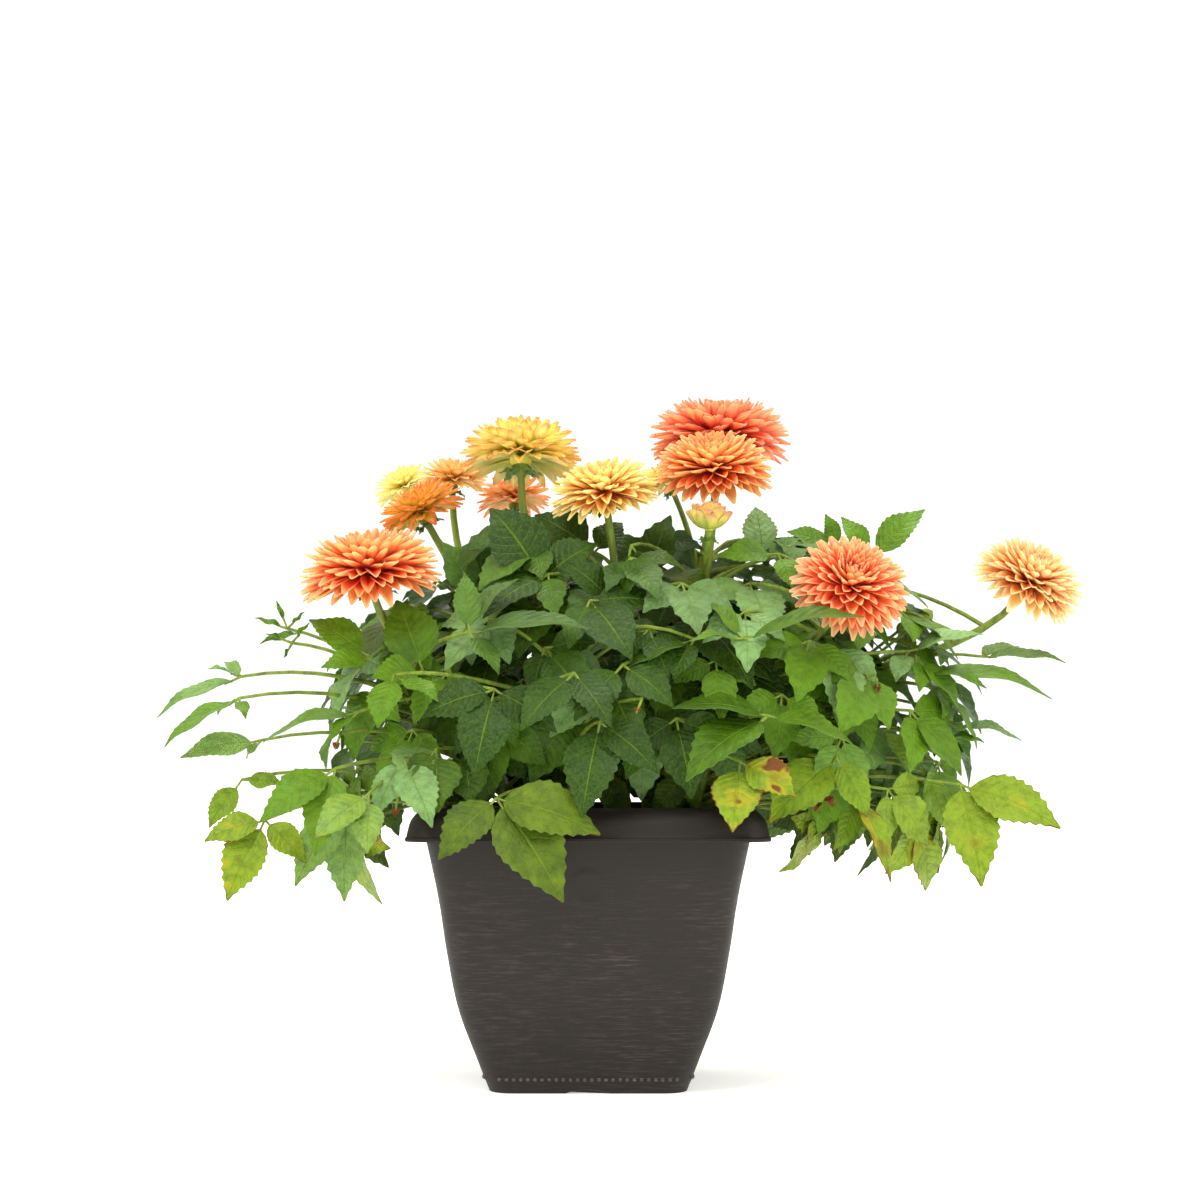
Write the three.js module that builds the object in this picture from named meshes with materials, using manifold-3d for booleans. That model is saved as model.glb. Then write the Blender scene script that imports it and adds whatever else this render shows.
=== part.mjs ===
// Potted dahlia: leafy stems and flower heads standing in a square planter filled with soil.
// Millimetres, +Z up, front towards -Y, origin in the middle of the planter's underside.
import * as THREE from "three";
import { mergeVertices } from "three/addons/utils/BufferGeometryUtils.js";
import Module from "manifold-3d";

const wasm = await Module();
wasm.setup();

const vec = (x, y, z) => new THREE.Vector3(x, y, z);
const UP = vec(0, 0, 1);
const radians = THREE.MathUtils.degToRad;

// Room between pieces that touch on the real plant
const GAP = 0.3;

// Planter: a tapering body with rounded corners and a lip turned down round its rim
const POT_HEIGHT = 243;
const WALL = 3.2;
const FLOOR = 5;
const CORNER_RADIUS = 22;
const CORNER_STEPS = 2;
const FOOT_HALF = 84;
const LIP_BOTTOM = 215;
// Half widths of the body's outside at heights above the ground
const BODY_OUTSIDE = [[85.5, 2], [94, 25], [110.5, 72], [120, 121], [126.5, 165], [136.5, LIP_BOTTOM]];
const LIP_HALF = 153;
const LIP_SHOULDER = 233;
const LIP_SHOULDER_HALF = 148.5;
const LIP_WALL = 2.8;
const LIP_ROOT = 232;
const RIM_TOP_HALF = 138.5;
const RIM_WIDTH = 4.2;
const ARCH_WIDTH = 39;
const ARCH_HEIGHT = 3.2;
const ARCH_DEPTH = 14;
const ARCH_STEPS = 4;
const DRAIN_RADIUS = 5;
const DRAIN_OFFSET = 45;
const DRAIN_SIDES = 6;

// Soil: a filling with a low mound, and a socket for each stem
const SOIL_EDGE = 216;
const SOIL_TOP = 222;
const SOIL_BEVEL = 6;
const SOIL_SHOULDER = 12;
const MOUND_SHARE = 0.45;
const MOUND_RISE = 2;
const SOCKET_ROOM = 1.4;
const SOCKET_LENGTH = 80;

// Stems: straight up out of the soil, then bending into the way their head looks
const STEM_FOOT = 178;
const STEM_START = SOIL_TOP + 4;
const STEM_RADIUS = 4.6;
const STALK_RADIUS = 3.1;
const STEM_SIDES = 5;
const STEM_STEPS = 6;
const STEM_RISE = 0.4;
const STEM_ARRIVAL = 0.3;
const BRANCH_RADIUS = 0.8 * STALK_RADIUS;
const BRANCH_STEPS = 3;
const BRANCH_RISE = 0.25;
const BRANCH_ARRIVAL = 0.4;
const CALYX_LENGTH = 13;
const CALYX_WAIST = 0.8;
const CALYX_FIT = 0.96;
const BUD_STALK_RADIUS = 1.5;

// Leaf stalks, and the nodes on them where pairs of leaflets stand
const PETIOLE_RADIUS = 1.8;
const PETIOLE_TAPER = 0.2;
const PETIOLE_LIFT = 0.16;
const NODE_RADIUS = 1.3;
const NODE_HALF = 2.2;
const NODE_SPACING = 13;
const SIDE_NECK = 6;
const END_NECK = 9;
const ROOT_BELOW_HUB = 35;
const ROOT_RANGE = [0.1, 0.84];
const ROOT_SPREAD = 0.12;

// Leaflets: a blade is a thin lens, thick at its rib and running out to a toothed edge. An edge
// point is a share of the length and a share of the half width.
const RIB_THICKNESS = 2.0;
const BLADE_ARCH = 0.09;
const BLADE_FOLD = 0.16;
const BLADE_RATIO = 0.28;
const TOOTHED_RATIO = 0.3;
const TOOTHED = {
  rib: 0.42,
  edge: [[0, 0.06], [0.28, 0.92], [0.34, 0.84], [0.52, 1], [0.58, 0.8], [0.76, 0.66], [0.81, 0.44]],
};
const SIMPLE = { rib: 0.46, edge: [[0, 0.06], [0.34, 1], [0.42, 0.86], [0.66, 0.78], [0.73, 0.5]] };
const PLAIN = { rib: 0.46, edge: [[0, 0.06], [0.34, 1], [0.6, 0.92], [0.68, 0.62]] };

// Flower heads: petals stand on a small core in alternating rows. Elevations and curls are in
// degrees above the plane across the head, reaches are shares of its radius.
const CORE_RADIUS = 0.2;
const RING_ELEVATIONS = [-38, -14, 9, 31, 51, 71];
const PETAL_ROWS = [
  { elevation: -13, reach: 1, curl: -4, full: true },
  { elevation: 8, reach: 0.98, curl: 0, full: true },
  { elevation: 28, reach: 0.86, curl: 4, full: false },
  { elevation: 48, reach: 0.66, curl: 6, full: false },
  { elevation: 68, reach: 0.52, curl: 6, full: false },
];
const BUD_ELEVATIONS = [-38, -8, 20, 42, 60, 75];
const BUD_ROWS = [
  { elevation: 12, reach: 1, curl: 8, full: true },
  { elevation: 33, reach: 0.96, curl: 10, full: false },
  { elevation: 50, reach: 0.92, curl: 10, full: false },
  { elevation: 64, reach: 0.88, curl: 8, full: false },
  { elevation: 77, reach: 0.84, curl: 6, full: false },
];
const SHOULDER = 0.66;
const PETAL_THICKNESS = 1.2;
const PETAL_SPREAD = 0.94;
const PETAL_CUP = 0.3;

const CORAL = 0xee6340;
const ORANGE = 0xee8f52;
const GOLD = 0xf5b350;
const PALE = 0xf3d86a;

// Heads: the stem, the middle of the seat on the calyx, the way the head looks, radius, petals in a
// row. A head with a branch stands on a side stalk that leaves its stem at that share of it.
const HEADS = [
  { name: "bloom_left_coral", stem: 0, seat: [-186, -94, 434], axis: [-0.12, -0.2, 0.97],
    radius: 62, petals: 9, color: CORAL },
  { name: "bloom_left_gold", stem: 1, seat: [-148, 4, 500], axis: [-0.5, -0.1, 0.86],
    radius: 42, petals: 9, color: GOLD },
  { name: "bloom_back_orange", stem: 2, seat: [-127, 82, 538], axis: [0.05, -0.05, 1],
    radius: 34, petals: 8, color: ORANGE },
  { name: "bloom_back_pale", stem: 2, branch: 0.62, seat: [-174, 140, 538], axis: [-0.4, 0.1, 0.9],
    radius: 32, petals: 8, color: PALE },
  { name: "bloom_top_yellow", stem: 3, seat: [-61, 4, 547], axis: [0, 0.16, 0.98],
    radius: 56, petals: 9, color: GOLD },
  { name: "bloom_back_small", stem: 4, seat: [-72, 138, 526], axis: [-0.12, 0.15, 0.97],
    radius: 37, petals: 8, color: ORANGE },
  { name: "bloom_middle", stem: 5, seat: [15, -52, 509], axis: [-0.16, -0.25, 0.95],
    radius: 49, petals: 9, color: GOLD },
  { name: "bloom_front_peach", stem: 6, seat: [111, -34, 531], axis: [-0.05, -0.38, 0.92],
    radius: 53, petals: 9, color: ORANGE },
  { name: "bud_half_open", stem: 6, branch: 0.6, seat: [104, -84, 480], axis: [0.06, -0.1, 1],
    radius: 25, petals: 7, color: PALE, bud: true },
  { name: "bloom_top_red", stem: 7, seat: [122, 92, 572], axis: [0, -0.12, 0.99],
    radius: 67, petals: 9, color: CORAL },
  { name: "bloom_back_gold", stem: 7, branch: 0.62, seat: [74, 46, 534], axis: [-0.4, 0.05, 0.9],
    radius: 29, petals: 8, color: GOLD },
  { name: "bloom_right_coral", stem: 8, seat: [222, -96, 426], axis: [0.2, -0.72, 0.66],
    radius: 52, petals: 9, color: CORAL },
  { name: "bloom_far_peach", stem: 9, seat: [393, 12, 437], axis: [0.4, -0.45, 0.8],
    radius: 51, petals: 9, color: ORANGE },
];

// Leafy stems: foot in the soil, and the top of those that carry no flower head
const STEMS = [
  { foot: [-72, -38] },
  { foot: [-58, 8] },
  { foot: [-62, 52] },
  { foot: [-20, 8] },
  { foot: [-22, 72] },
  { foot: [32, -34] },
  { foot: [72, -8] },
  { foot: [52, 48] },
  { foot: [92, -58] },
  { foot: [100, 26] },
  { foot: [-14, -76], top: [-20, -104, 372], lean: [-0.1, -0.3, 1] },
  { foot: [-98, -4], top: [-172, -26, 352], lean: [-0.75, -0.1, 0.6] },
  { foot: [104, -20], top: [188, -46, 318], lean: [0.8, -0.15, 0.55] },
  { foot: [18, 98], top: [26, 150, 440], lean: [0.1, 0.4, 0.9] },
];

// Side buds still closed, on short stalks of their stem
const GREEN_BUDS = [
  { stem: 9, from: 0.5, at: [303, 14, 412], radius: 7 },
  { stem: 9, from: 0.46, at: [284, 30, 402], radius: 5.5 },
];

// Compound leaves that give the plant its outline from the front: the hub where the leaflets meet,
// then the tips, the end leaflet first. The side is the way that the blades look.
const FRONT = vec(0, -0.8, 0.6);
const OVER = vec(0, -0.35, 0.94);
const RIGHT = vec(0.6, -0.6, 0.4);
const LEFT = vec(-0.7, -0.6, 0.3);
const LEAVES = [
  { hub: [-206, -76, 250], tips: [[-248, -94, 174], [-208, -76, 160]], side: FRONT, ratio: 0.24 },
  { hub: [-212, -128, 276], tips: [[-272, -150, 232], [-226, -150, 204]], side: FRONT, ratio: 0.27 },
  { hub: [-75, -172, 252], tips: [[-20, -192, 168], [-122, -184, 202], [10, -176, 222]],
    side: FRONT, ratio: 0.31 },
  { hub: [-155, -128, 285], tips: [[-128, -168, 228], [-178, -130, 236]], side: FRONT },
  { hub: [-75, -150, 335], tips: [[-95, -182, 255], [-140, -152, 305], [-28, -168, 292]],
    side: FRONT, ratio: 0.33 },
  { hub: [10, -150, 315], tips: [[-5, -182, 236], [58, -168, 272]], side: FRONT, ratio: 0.3 },
  { hub: [-10, -140, 355], tips: [[-55, -168, 300], [20, -165, 303]], side: FRONT },
  { hub: [30, -145, 368], tips: [[-10, -172, 318], [72, -168, 330]], side: FRONT, ratio: 0.34 },
  { hub: [90, -130, 385], tips: [[40, -150, 355], [78, -160, 345]], side: OVER, ratio: 0.36 },
  { hub: [150, -150, 320], tips: [[80, -186, 266], [70, -152, 326], [220, -152, 296]],
    side: OVER, ratio: 0.33 },
  { hub: [125, -166, 285], tips: [[115, -192, 220], [168, -178, 248]], side: FRONT, ratio: 0.4 },
  { hub: [210, -110, 285], tips: [[150, -142, 230], [236, -112, 235]], side: FRONT, ratio: 0.3 },
  { hub: [225, -100, 256], tips: [[255, -112, 180]], side: RIGHT, ratio: 0.2 },
  { hub: [292, -60, 275], tips: [[270, -80, 203], [316, -66, 214], [262, -70, 298]],
    side: FRONT, ratio: 0.3 },
  { hub: [322, -60, 262], tips: [[405, -80, 225], [335, -92, 176]], side: FRONT },
  { hub: [312, -20, 305], tips: [[348, -30, 298], [300, -58, 286]], side: OVER },
  { hub: [325, 2, 315], tips: [[386, 0, 300], [345, 32, 322]], side: OVER, ratio: 0.22 },
  { hub: [297, -30, 362], tips: [[406, -42, 336], [344, -70, 345]], side: OVER, ratio: 0.2 },
  { hub: [352, 20, 376], tips: [[430, 20, 370], [398, 66, 384]], side: OVER, ratio: 0.2 },
  { hub: [280, -42, 378], tips: [[345, -48, 392], [266, -70, 350]], side: OVER, ratio: 0.3 },
  { hub: [250, -18, 462], tips: [[300, -10, 506], [226, -4, 500]], side: FRONT, ratio: 0.26 },
  { hub: [225, 22, 472], tips: [[180, 30, 490], [214, 20, 505]], side: FRONT, ratio: 0.3 },
  { hub: [155, -20, 460], tips: [[150, 10, 510], [186, -30, 478]], side: FRONT, ratio: 0.32 },
  { hub: [165, -62, 462], tips: [[112, -80, 458], [176, -84, 430]], side: FRONT, ratio: 0.3 },
  { hub: [130, -132, 385], tips: [[230, -152, 402], [84, -154, 382], [98, -110, 420]],
    side: OVER, ratio: 0.2 },
  { hub: [-40, -70, 440], tips: [[-86, -58, 502], [8, -72, 470]], side: FRONT, ratio: 0.42 },
  { hub: [5, -30, 466], tips: [[-48, -20, 500], [30, -10, 494]], side: FRONT, ratio: 0.4 },
  { hub: [20, -92, 420], tips: [[-20, -94, 452], [46, -104, 456]], side: FRONT, ratio: 0.36 },
  { hub: [34, -76, 470], tips: [[20, -90, 412], [62, -70, 428]], side: LEFT, ratio: 0.22 },
  { hub: [-100, -132, 390], tips: [[0, -152, 392], [-105, -122, 441], [-60, -120, 436], [-74, -154, 354]],
    side: OVER, ratio: 0.26 },
  { hub: [-140, -108, 358], tips: [[-165, -86, 420], [-182, -132, 352]], side: FRONT, ratio: 0.4 },
  { hub: [-182, -104, 372], tips: [[-240, -96, 404], [-226, -126, 362]], side: FRONT, ratio: 0.3 },
  { hub: [-305, -38, 356], tips: [[-376, -50, 320], [-330, -64, 362], [-324, -8, 370]],
    side: OVER, ratio: 0.2 },
  { hub: [-300, -84, 336], tips: [[-362, -92, 294], [-322, -60, 322], [-290, -112, 318]],
    side: OVER, ratio: 0.22 },
  { hub: [-188, -104, 315], tips: [[-282, -104, 298], [-226, -126, 296], [-214, -76, 326]],
    side: OVER, ratio: 0.22 },
  { hub: [-284, -58, 300], tips: [[-352, -70, 285], [-300, -40, 284]], side: FRONT, ratio: 0.22 },
  { hub: [-300, -62, 266], tips: [[-326, -74, 225], [-264, -64, 262]], side: FRONT, ratio: 0.3 },
  { hub: [-276, -90, 232], tips: [[-306, -102, 164], [-326, -100, 214], [-240, -100, 196]],
    side: FRONT, ratio: 0.3 },
  { hub: [-174, -156, 264], tips: [[-160, -174, 206], [-204, -172, 218]], side: FRONT, ratio: 0.3 },
  { hub: [-160, -132, 356], tips: [[-116, -152, 334], [-166, -158, 312]], side: OVER, ratio: 0.34 },
];

// Leaves placed by rule carry a pair of side leaflets, turn by turn round the plant
const GOLDEN_TURN = radians(137.508);
const RULED_RATIO = [0.29, 0.36];
const PAIR_ANGLE = [46, 64];
const PAIR_LENGTH = [0.62, 0.8];
const PAIR_SAG = 0.12;

// Leaves that hang over the rim at the back, on an ellipse round the middle. They leave the front
// and the sides to the leaves above.
const SKIRT = { count: 10, reach: [188, 245], height: [272, 300], length: [72, 90], drop: [36, 62] };
const SKIRT_SEEDS = 1000;
const SKIRT_WIDTH = 1.2;
const SKIRT_CENTRE_X = 14;
const SKIRT_SWING = 0.5;
const SKIRT_LOOK = { out: 0.5, up: 0.86 };
const FRONT_KEPT_FREE = -72;
const SIDE_KEPT_FREE = { x: 190, y: 20 };

// Leaves that close the crown, on shells of a dome. They look out of it and hang down, and none
// stands between a head and a viewer in front.
const DOME = [
  { count: 36, shell: 1, elevation: [-12, 72], start: 0, seeds: 2000 },
  { count: 26, shell: 0.8, elevation: [-16, 76], start: 2, seeds: 3000 },
];
const DOME_MIDDLE = vec(50, 14, 292);
const DOME_AXES = vec(270, 142, 195);
const DOME_FULLNESS = 0.8;
const DOME_SPREAD = [0.92, 1.04];
const DOME_LENGTH = [74, 92];
const DOME_LOOK_UP = 0.25;
const DOME_HANG = { out: 0.9, least: 0.2, most: 0.8 };
const DOME_SWING = 1.5;
const DOME_DIP = 6;
const VIEWER = vec(10, -2200, 288);
const HEAD_MIDDLE = 0.3;
const CLEAR_SIGHT = 6;

// How a leaf looks for a clear place, in millimetres and cubic millimetres
const TRIES = 60;
const STILL_TRIES = 12;
const STRICT_TRIES = 24;
const TRIES_PER_ROOT = 3;
const ROOTS_TRIED = 3;
const HUB_STEP = 2.2;
const TIP_STEP = 0.3;
const BEND_STEP = 8;
const ROOM = 0.4;
const HIT_VOLUME = 1e-4;
const OWN_HIT_VOLUME = 1;
const OWN_LATE_VOLUME = 25;

const unit = (numbers) => vec(...numbers).normalize();
const between = ([low, high], share) => low + (high - low) * share;
const across = (first, second) => new THREE.Vector3().crossVectors(first, second).normalize();

// Draws between 0 and 1 that are the same in every run
function draws(seed) {
  let state = seed >>> 0;
  return () => {
    state = (Math.imul(state, 1664525) + 1013904223) >>> 0;
    return state / 2 ** 32;
  };
}

// Solids

function solidOf(source) {
  const geometry = source.clone();
  geometry.deleteAttribute("normal");
  geometry.deleteAttribute("uv");
  const merged = mergeVertices(geometry);
  return new wasm.Manifold(new wasm.Mesh({
    numProp: 3,
    vertProperties: Float32Array.from(merged.attributes.position.array),
    triVerts: Uint32Array.from(merged.index.array),
  }));
}

// A closed body from corner points and triangles, turned the right way out
function body(points, triangles) {
  let volume = 0;
  for (const [a, b, c] of triangles) {
    volume += points[a].dot(new THREE.Vector3().crossVectors(points[b], points[c]));
  }
  const faces = volume < 0 ? triangles.map(([a, b, c]) => [a, c, b]) : triangles;
  const geometry = new THREE.BufferGeometry().setFromPoints(points);
  geometry.setIndex(faces.flat());
  return solidOf(geometry);
}

function geometryOf(solid) {
  const mesh = solid.getMesh();
  const geometry = new THREE.BufferGeometry();
  geometry.setAttribute("position", new THREE.BufferAttribute(Float32Array.from(mesh.vertProperties), 3));
  geometry.setIndex(new THREE.BufferAttribute(Uint32Array.from(mesh.triVerts), 1));
  geometry.computeVertexNormals();
  return geometry;
}

// A skin over rings of equally many points, closed flat at both ends. A last ring of one point
// makes a tip.
function loft(rings) {
  const points = [];
  const starts = rings.map((ring) => points.push(...ring) - ring.length);
  const triangles = [];
  for (let k = 1; k < rings.length; k += 1) {
    const size = rings[k - 1].length;
    for (let i = 0; i < size; i += 1) {
      const next = (i + 1) % size;
      const a = starts[k - 1] + i;
      const b = starts[k - 1] + next;
      if (rings[k].length === 1) {
        triangles.push([a, b, starts[k]]);
      } else {
        triangles.push([a, b, starts[k] + next], [a, starts[k] + next, starts[k] + i]);
      }
    }
  }
  const last = rings.length - 1;
  for (let i = 1; i < rings[0].length - 1; i += 1) {
    triangles.push([0, i + 1, i]);
  }
  for (let i = 1; i < rings[last].length - 1; i += 1) {
    triangles.push([starts[last], starts[last] + i, starts[last] + i + 1]);
  }
  return body(points, triangles);
}

// Planter and soil

function squareRing(half, z, radius = CORNER_RADIUS) {
  const ring = [];
  for (let corner = 0; corner < 4; corner += 1) {
    const turn = corner * Math.PI / 2;
    for (let step = 0; step <= CORNER_STEPS; step += 1) {
      const angle = turn + step / CORNER_STEPS * Math.PI / 2;
      const middle = vec(half - radius, half - radius, z).applyAxisAngle(UP, turn);
      ring.push(middle.add(vec(radius * Math.cos(angle), radius * Math.sin(angle), 0)));
    }
  }
  return ring;
}

function insideHalf(z) {
  const upper = BODY_OUTSIDE.findIndex(([, height]) => height >= z);
  const [[lowHalf, low], [highHalf, high]] = BODY_OUTSIDE.slice(upper - 1, upper + 1);
  return THREE.MathUtils.mapLinear(z, low, high, lowHalf, highHalf) - WALL;
}

const insideHeights = [FLOOR, ...BODY_OUTSIDE.map(([, z]) => z).filter((z) => z > FLOOR)];
const insideRadius = CORNER_RADIUS - WALL;

function makePot() {
  const outside = [squareRing(FOOT_HALF, 0), ...BODY_OUTSIDE.map(([half, z]) => squareRing(half, z))];
  const lip = [
    squareRing(BODY_OUTSIDE.at(-1)[0] + 1, LIP_ROOT),
    squareRing(LIP_SHOULDER_HALF - LIP_WALL, LIP_SHOULDER - LIP_WALL),
    squareRing(LIP_HALF - LIP_WALL, LIP_BOTTOM),
    squareRing(LIP_HALF, LIP_BOTTOM),
    squareRing(LIP_SHOULDER_HALF, LIP_SHOULDER),
    squareRing(RIM_TOP_HALF, POT_HEIGHT),
    squareRing(RIM_TOP_HALF - RIM_WIDTH, POT_HEIGHT, insideRadius),
  ];
  const inside = [...insideHeights].reverse().map((z) => squareRing(insideHalf(z), z, insideRadius));
  let pot = loft([...outside, ...lip, ...inside]);
  const arch = archCutter();
  const drain = new THREE.CylinderGeometry(DRAIN_RADIUS, DRAIN_RADIUS, 4 * FLOOR, DRAIN_SIDES);
  drain.rotateX(Math.PI / 2);
  drain.translate(DRAIN_OFFSET, DRAIN_OFFSET, 0);
  for (let quarter = 0; quarter < 4; quarter += 1) {
    pot = pot.subtract(solidOf(arch)).subtract(solidOf(drain));
    arch.rotateZ(Math.PI / 2);
    drain.rotateZ(Math.PI / 2);
  }
  return pot;
}

// The low arch that each side of the foot stands on
function archCutter() {
  const radius = (ARCH_WIDTH ** 2 / 4 + ARCH_HEIGHT ** 2) / (2 * ARCH_HEIGHT);
  const halfAngle = Math.asin(ARCH_WIDTH / 2 / radius);
  const upright = Math.PI / 2;
  const below = -FLOOR;
  const shape = new THREE.Shape();
  shape.absarc(0, ARCH_HEIGHT - radius, radius, upright - halfAngle, upright + halfAngle, false);
  shape.lineTo(-ARCH_WIDTH / 2, below);
  shape.lineTo(ARCH_WIDTH / 2, below);
  const settings = { depth: 2 * ARCH_DEPTH, bevelEnabled: false, curveSegments: ARCH_STEPS };
  const cutter = new THREE.ExtrudeGeometry(shape, settings);
  cutter.rotateX(Math.PI / 2);
  return cutter.translate(0, ARCH_DEPTH - BODY_OUTSIDE[0][0], 0);
}

function makeSoil() {
  const radius = insideRadius - GAP;
  const edge = insideHalf(SOIL_EDGE - SOIL_BEVEL);
  const walls = insideHeights.filter((z) => z > FLOOR && z < SOIL_EDGE - SOIL_BEVEL);
  let soil = loft([
    squareRing(insideHalf(FLOOR) - GAP, FLOOR + GAP, radius),
    ...walls.map((z) => squareRing(insideHalf(z) - GAP, z, radius)),
    squareRing(edge - GAP, SOIL_EDGE - SOIL_BEVEL, radius),
    squareRing(edge - SOIL_SHOULDER, SOIL_EDGE, radius),
    squareRing(MOUND_SHARE * edge, SOIL_TOP, radius),
    [vec(0, 0, SOIL_TOP + MOUND_RISE)],
  ]);
  const width = STEM_RADIUS + SOCKET_ROOM;
  for (const { foot: [x, y] } of STEMS) {
    const socket = new THREE.CylinderGeometry(width, width, SOCKET_LENGTH, STEM_SIDES + 1);
    socket.rotateX(Math.PI / 2);
    socket.translate(x, y, STEM_FOOT - GAP + SOCKET_LENGTH / 2);
    soil = soil.subtract(solidOf(socket));
  }
  return soil;
}

// Stems

const headOf = (stem) => HEADS.find((head) => head.stem === stem && head.branch === undefined);
const seatRadius = (radius) => CORE_RADIUS * radius * Math.cos(radians(RING_ELEVATIONS[0]));
const calyxRadius = (head) => CALYX_FIT * seatRadius(head.radius);

// A line that starts straight up and arrives along a given way
function risingCurve(start, end, way, rise, arrival) {
  const reach = end.distanceTo(start);
  const first = start.clone().addScaledVector(UP, rise * reach);
  return new THREE.CubicBezierCurve3(start, first, end.clone().addScaledVector(way, -arrival * reach), end);
}

const stemCurves = STEMS.map(({ foot, top, lean }, index) => {
  const head = headOf(index);
  const start = vec(...foot, STEM_START);
  const end = vec(...(head ? head.seat : top));
  return risingCurve(start, end, unit(head ? head.axis : lean), STEM_RISE, STEM_ARRIVAL);
});

function branchCurve(head) {
  const start = stemCurves[head.stem].getPoint(head.branch);
  return risingCurve(start, vec(...head.seat), unit(head.axis), BRANCH_RISE, BRANCH_ARRIVAL);
}

function roundRing(centre, along, radius, sides = STEM_SIDES) {
  const start = across(along, Math.abs(along.x) > 0.9 ? vec(0, 1, 0) : vec(1, 0, 0));
  return Array.from({ length: sides }, (_, i) => {
    const spoke = start.clone().applyAxisAngle(along, i / sides * 2 * Math.PI);
    return centre.clone().addScaledVector(spoke, radius);
  });
}

// Share of a stalk's curve where it starts to widen into the calyx
const stalkEnd = (curve, head) => (head ? 1 - CALYX_LENGTH / curve.getLength() : 1);

// Rings of a stalk along a curve, widening into the calyx where a head sits on it
function stalkRings(curve, from, to, steps, head) {
  const stop = stalkEnd(curve, head);
  const rings = [];
  for (let k = 0; k <= steps; k += 1) {
    const t = stop * k / steps;
    rings.push(roundRing(curve.getPoint(t), curve.getTangent(t), between([from, to], k / steps)));
  }
  if (head) {
    const along = curve.getTangent(1);
    const end = curve.getPoint(1);
    const waist = end.clone().addScaledVector(along, -0.5 * CALYX_LENGTH);
    rings.push(roundRing(waist, along, CALYX_WAIST * calyxRadius(head)));
    rings.push(roundRing(end, along, calyxRadius(head)));
  }
  return rings;
}

function makeGreenBud(bud) {
  const start = stemCurves[bud.stem].getPoint(bud.from);
  const end = vec(...bud.at);
  const along = end.clone().sub(start).normalize();
  const neck = end.clone().addScaledVector(along, -bud.radius);
  return loft([
    roundRing(start, along, BUD_STALK_RADIUS, 4),
    roundRing(neck, along, BUD_STALK_RADIUS, 4),
    roundRing(end, along, bud.radius, 4),
    [end.clone().addScaledVector(along, bud.radius)],
  ]);
}

function makeStem(index) {
  const foot = roundRing(vec(...STEMS[index].foot, STEM_FOOT), UP, STEM_RADIUS);
  const rings = stalkRings(stemCurves[index], STEM_RADIUS, STALK_RADIUS, STEM_STEPS, headOf(index));
  const branches = HEADS.filter((head) => head.stem === index && head.branch !== undefined);
  const buds = GREEN_BUDS.filter((bud) => bud.stem === index);
  return [
    loft([foot, ...rings]),
    ...branches.map((head) =>
      loft(stalkRings(branchCurve(head), BRANCH_RADIUS, BRANCH_RADIUS, BRANCH_STEPS, head))),
    ...buds.map(makeGreenBud),
  ];
}

// Flower heads

// Where the rays of a head point: a turn round its axis and an elevation in degrees
function headFrame(head) {
  const axis = unit(head.axis);
  const first = across(Math.abs(axis.z) > 0.95 ? vec(1, 0, 0) : UP, axis);
  const second = new THREE.Vector3().crossVectors(axis, first);
  const outward = (turn) =>
    first.clone().multiplyScalar(Math.cos(turn)).addScaledVector(second, Math.sin(turn));
  const ray = (turn, elevation) => outward(turn).multiplyScalar(Math.cos(radians(elevation)))
    .addScaledVector(axis, Math.sin(radians(elevation)));
  return { axis, outward, ray };
}

// The four corners of a petal's section at its shoulder, where it is widest
function petalSection(frame, middle, turn, row, length, slot) {
  const along = frame.ray(turn, row.elevation);
  const sideways = across(frame.axis, frame.outward(turn));
  const normal = new THREE.Vector3().crossVectors(along, sideways);
  const half = PETAL_SPREAD * SHOULDER * length * Math.cos(radians(row.elevation)) * Math.sin(slot);
  const thick = PETAL_THICKNESS / 2;
  const corners = [[-half, PETAL_CUP * half], [0, -thick], [half, PETAL_CUP * half], [0, thick]];
  return corners.map(([aside, raised]) => middle.clone().addScaledVector(along, SHOULDER * length)
    .addScaledVector(sideways, aside).addScaledVector(normal, raised));
}

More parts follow.
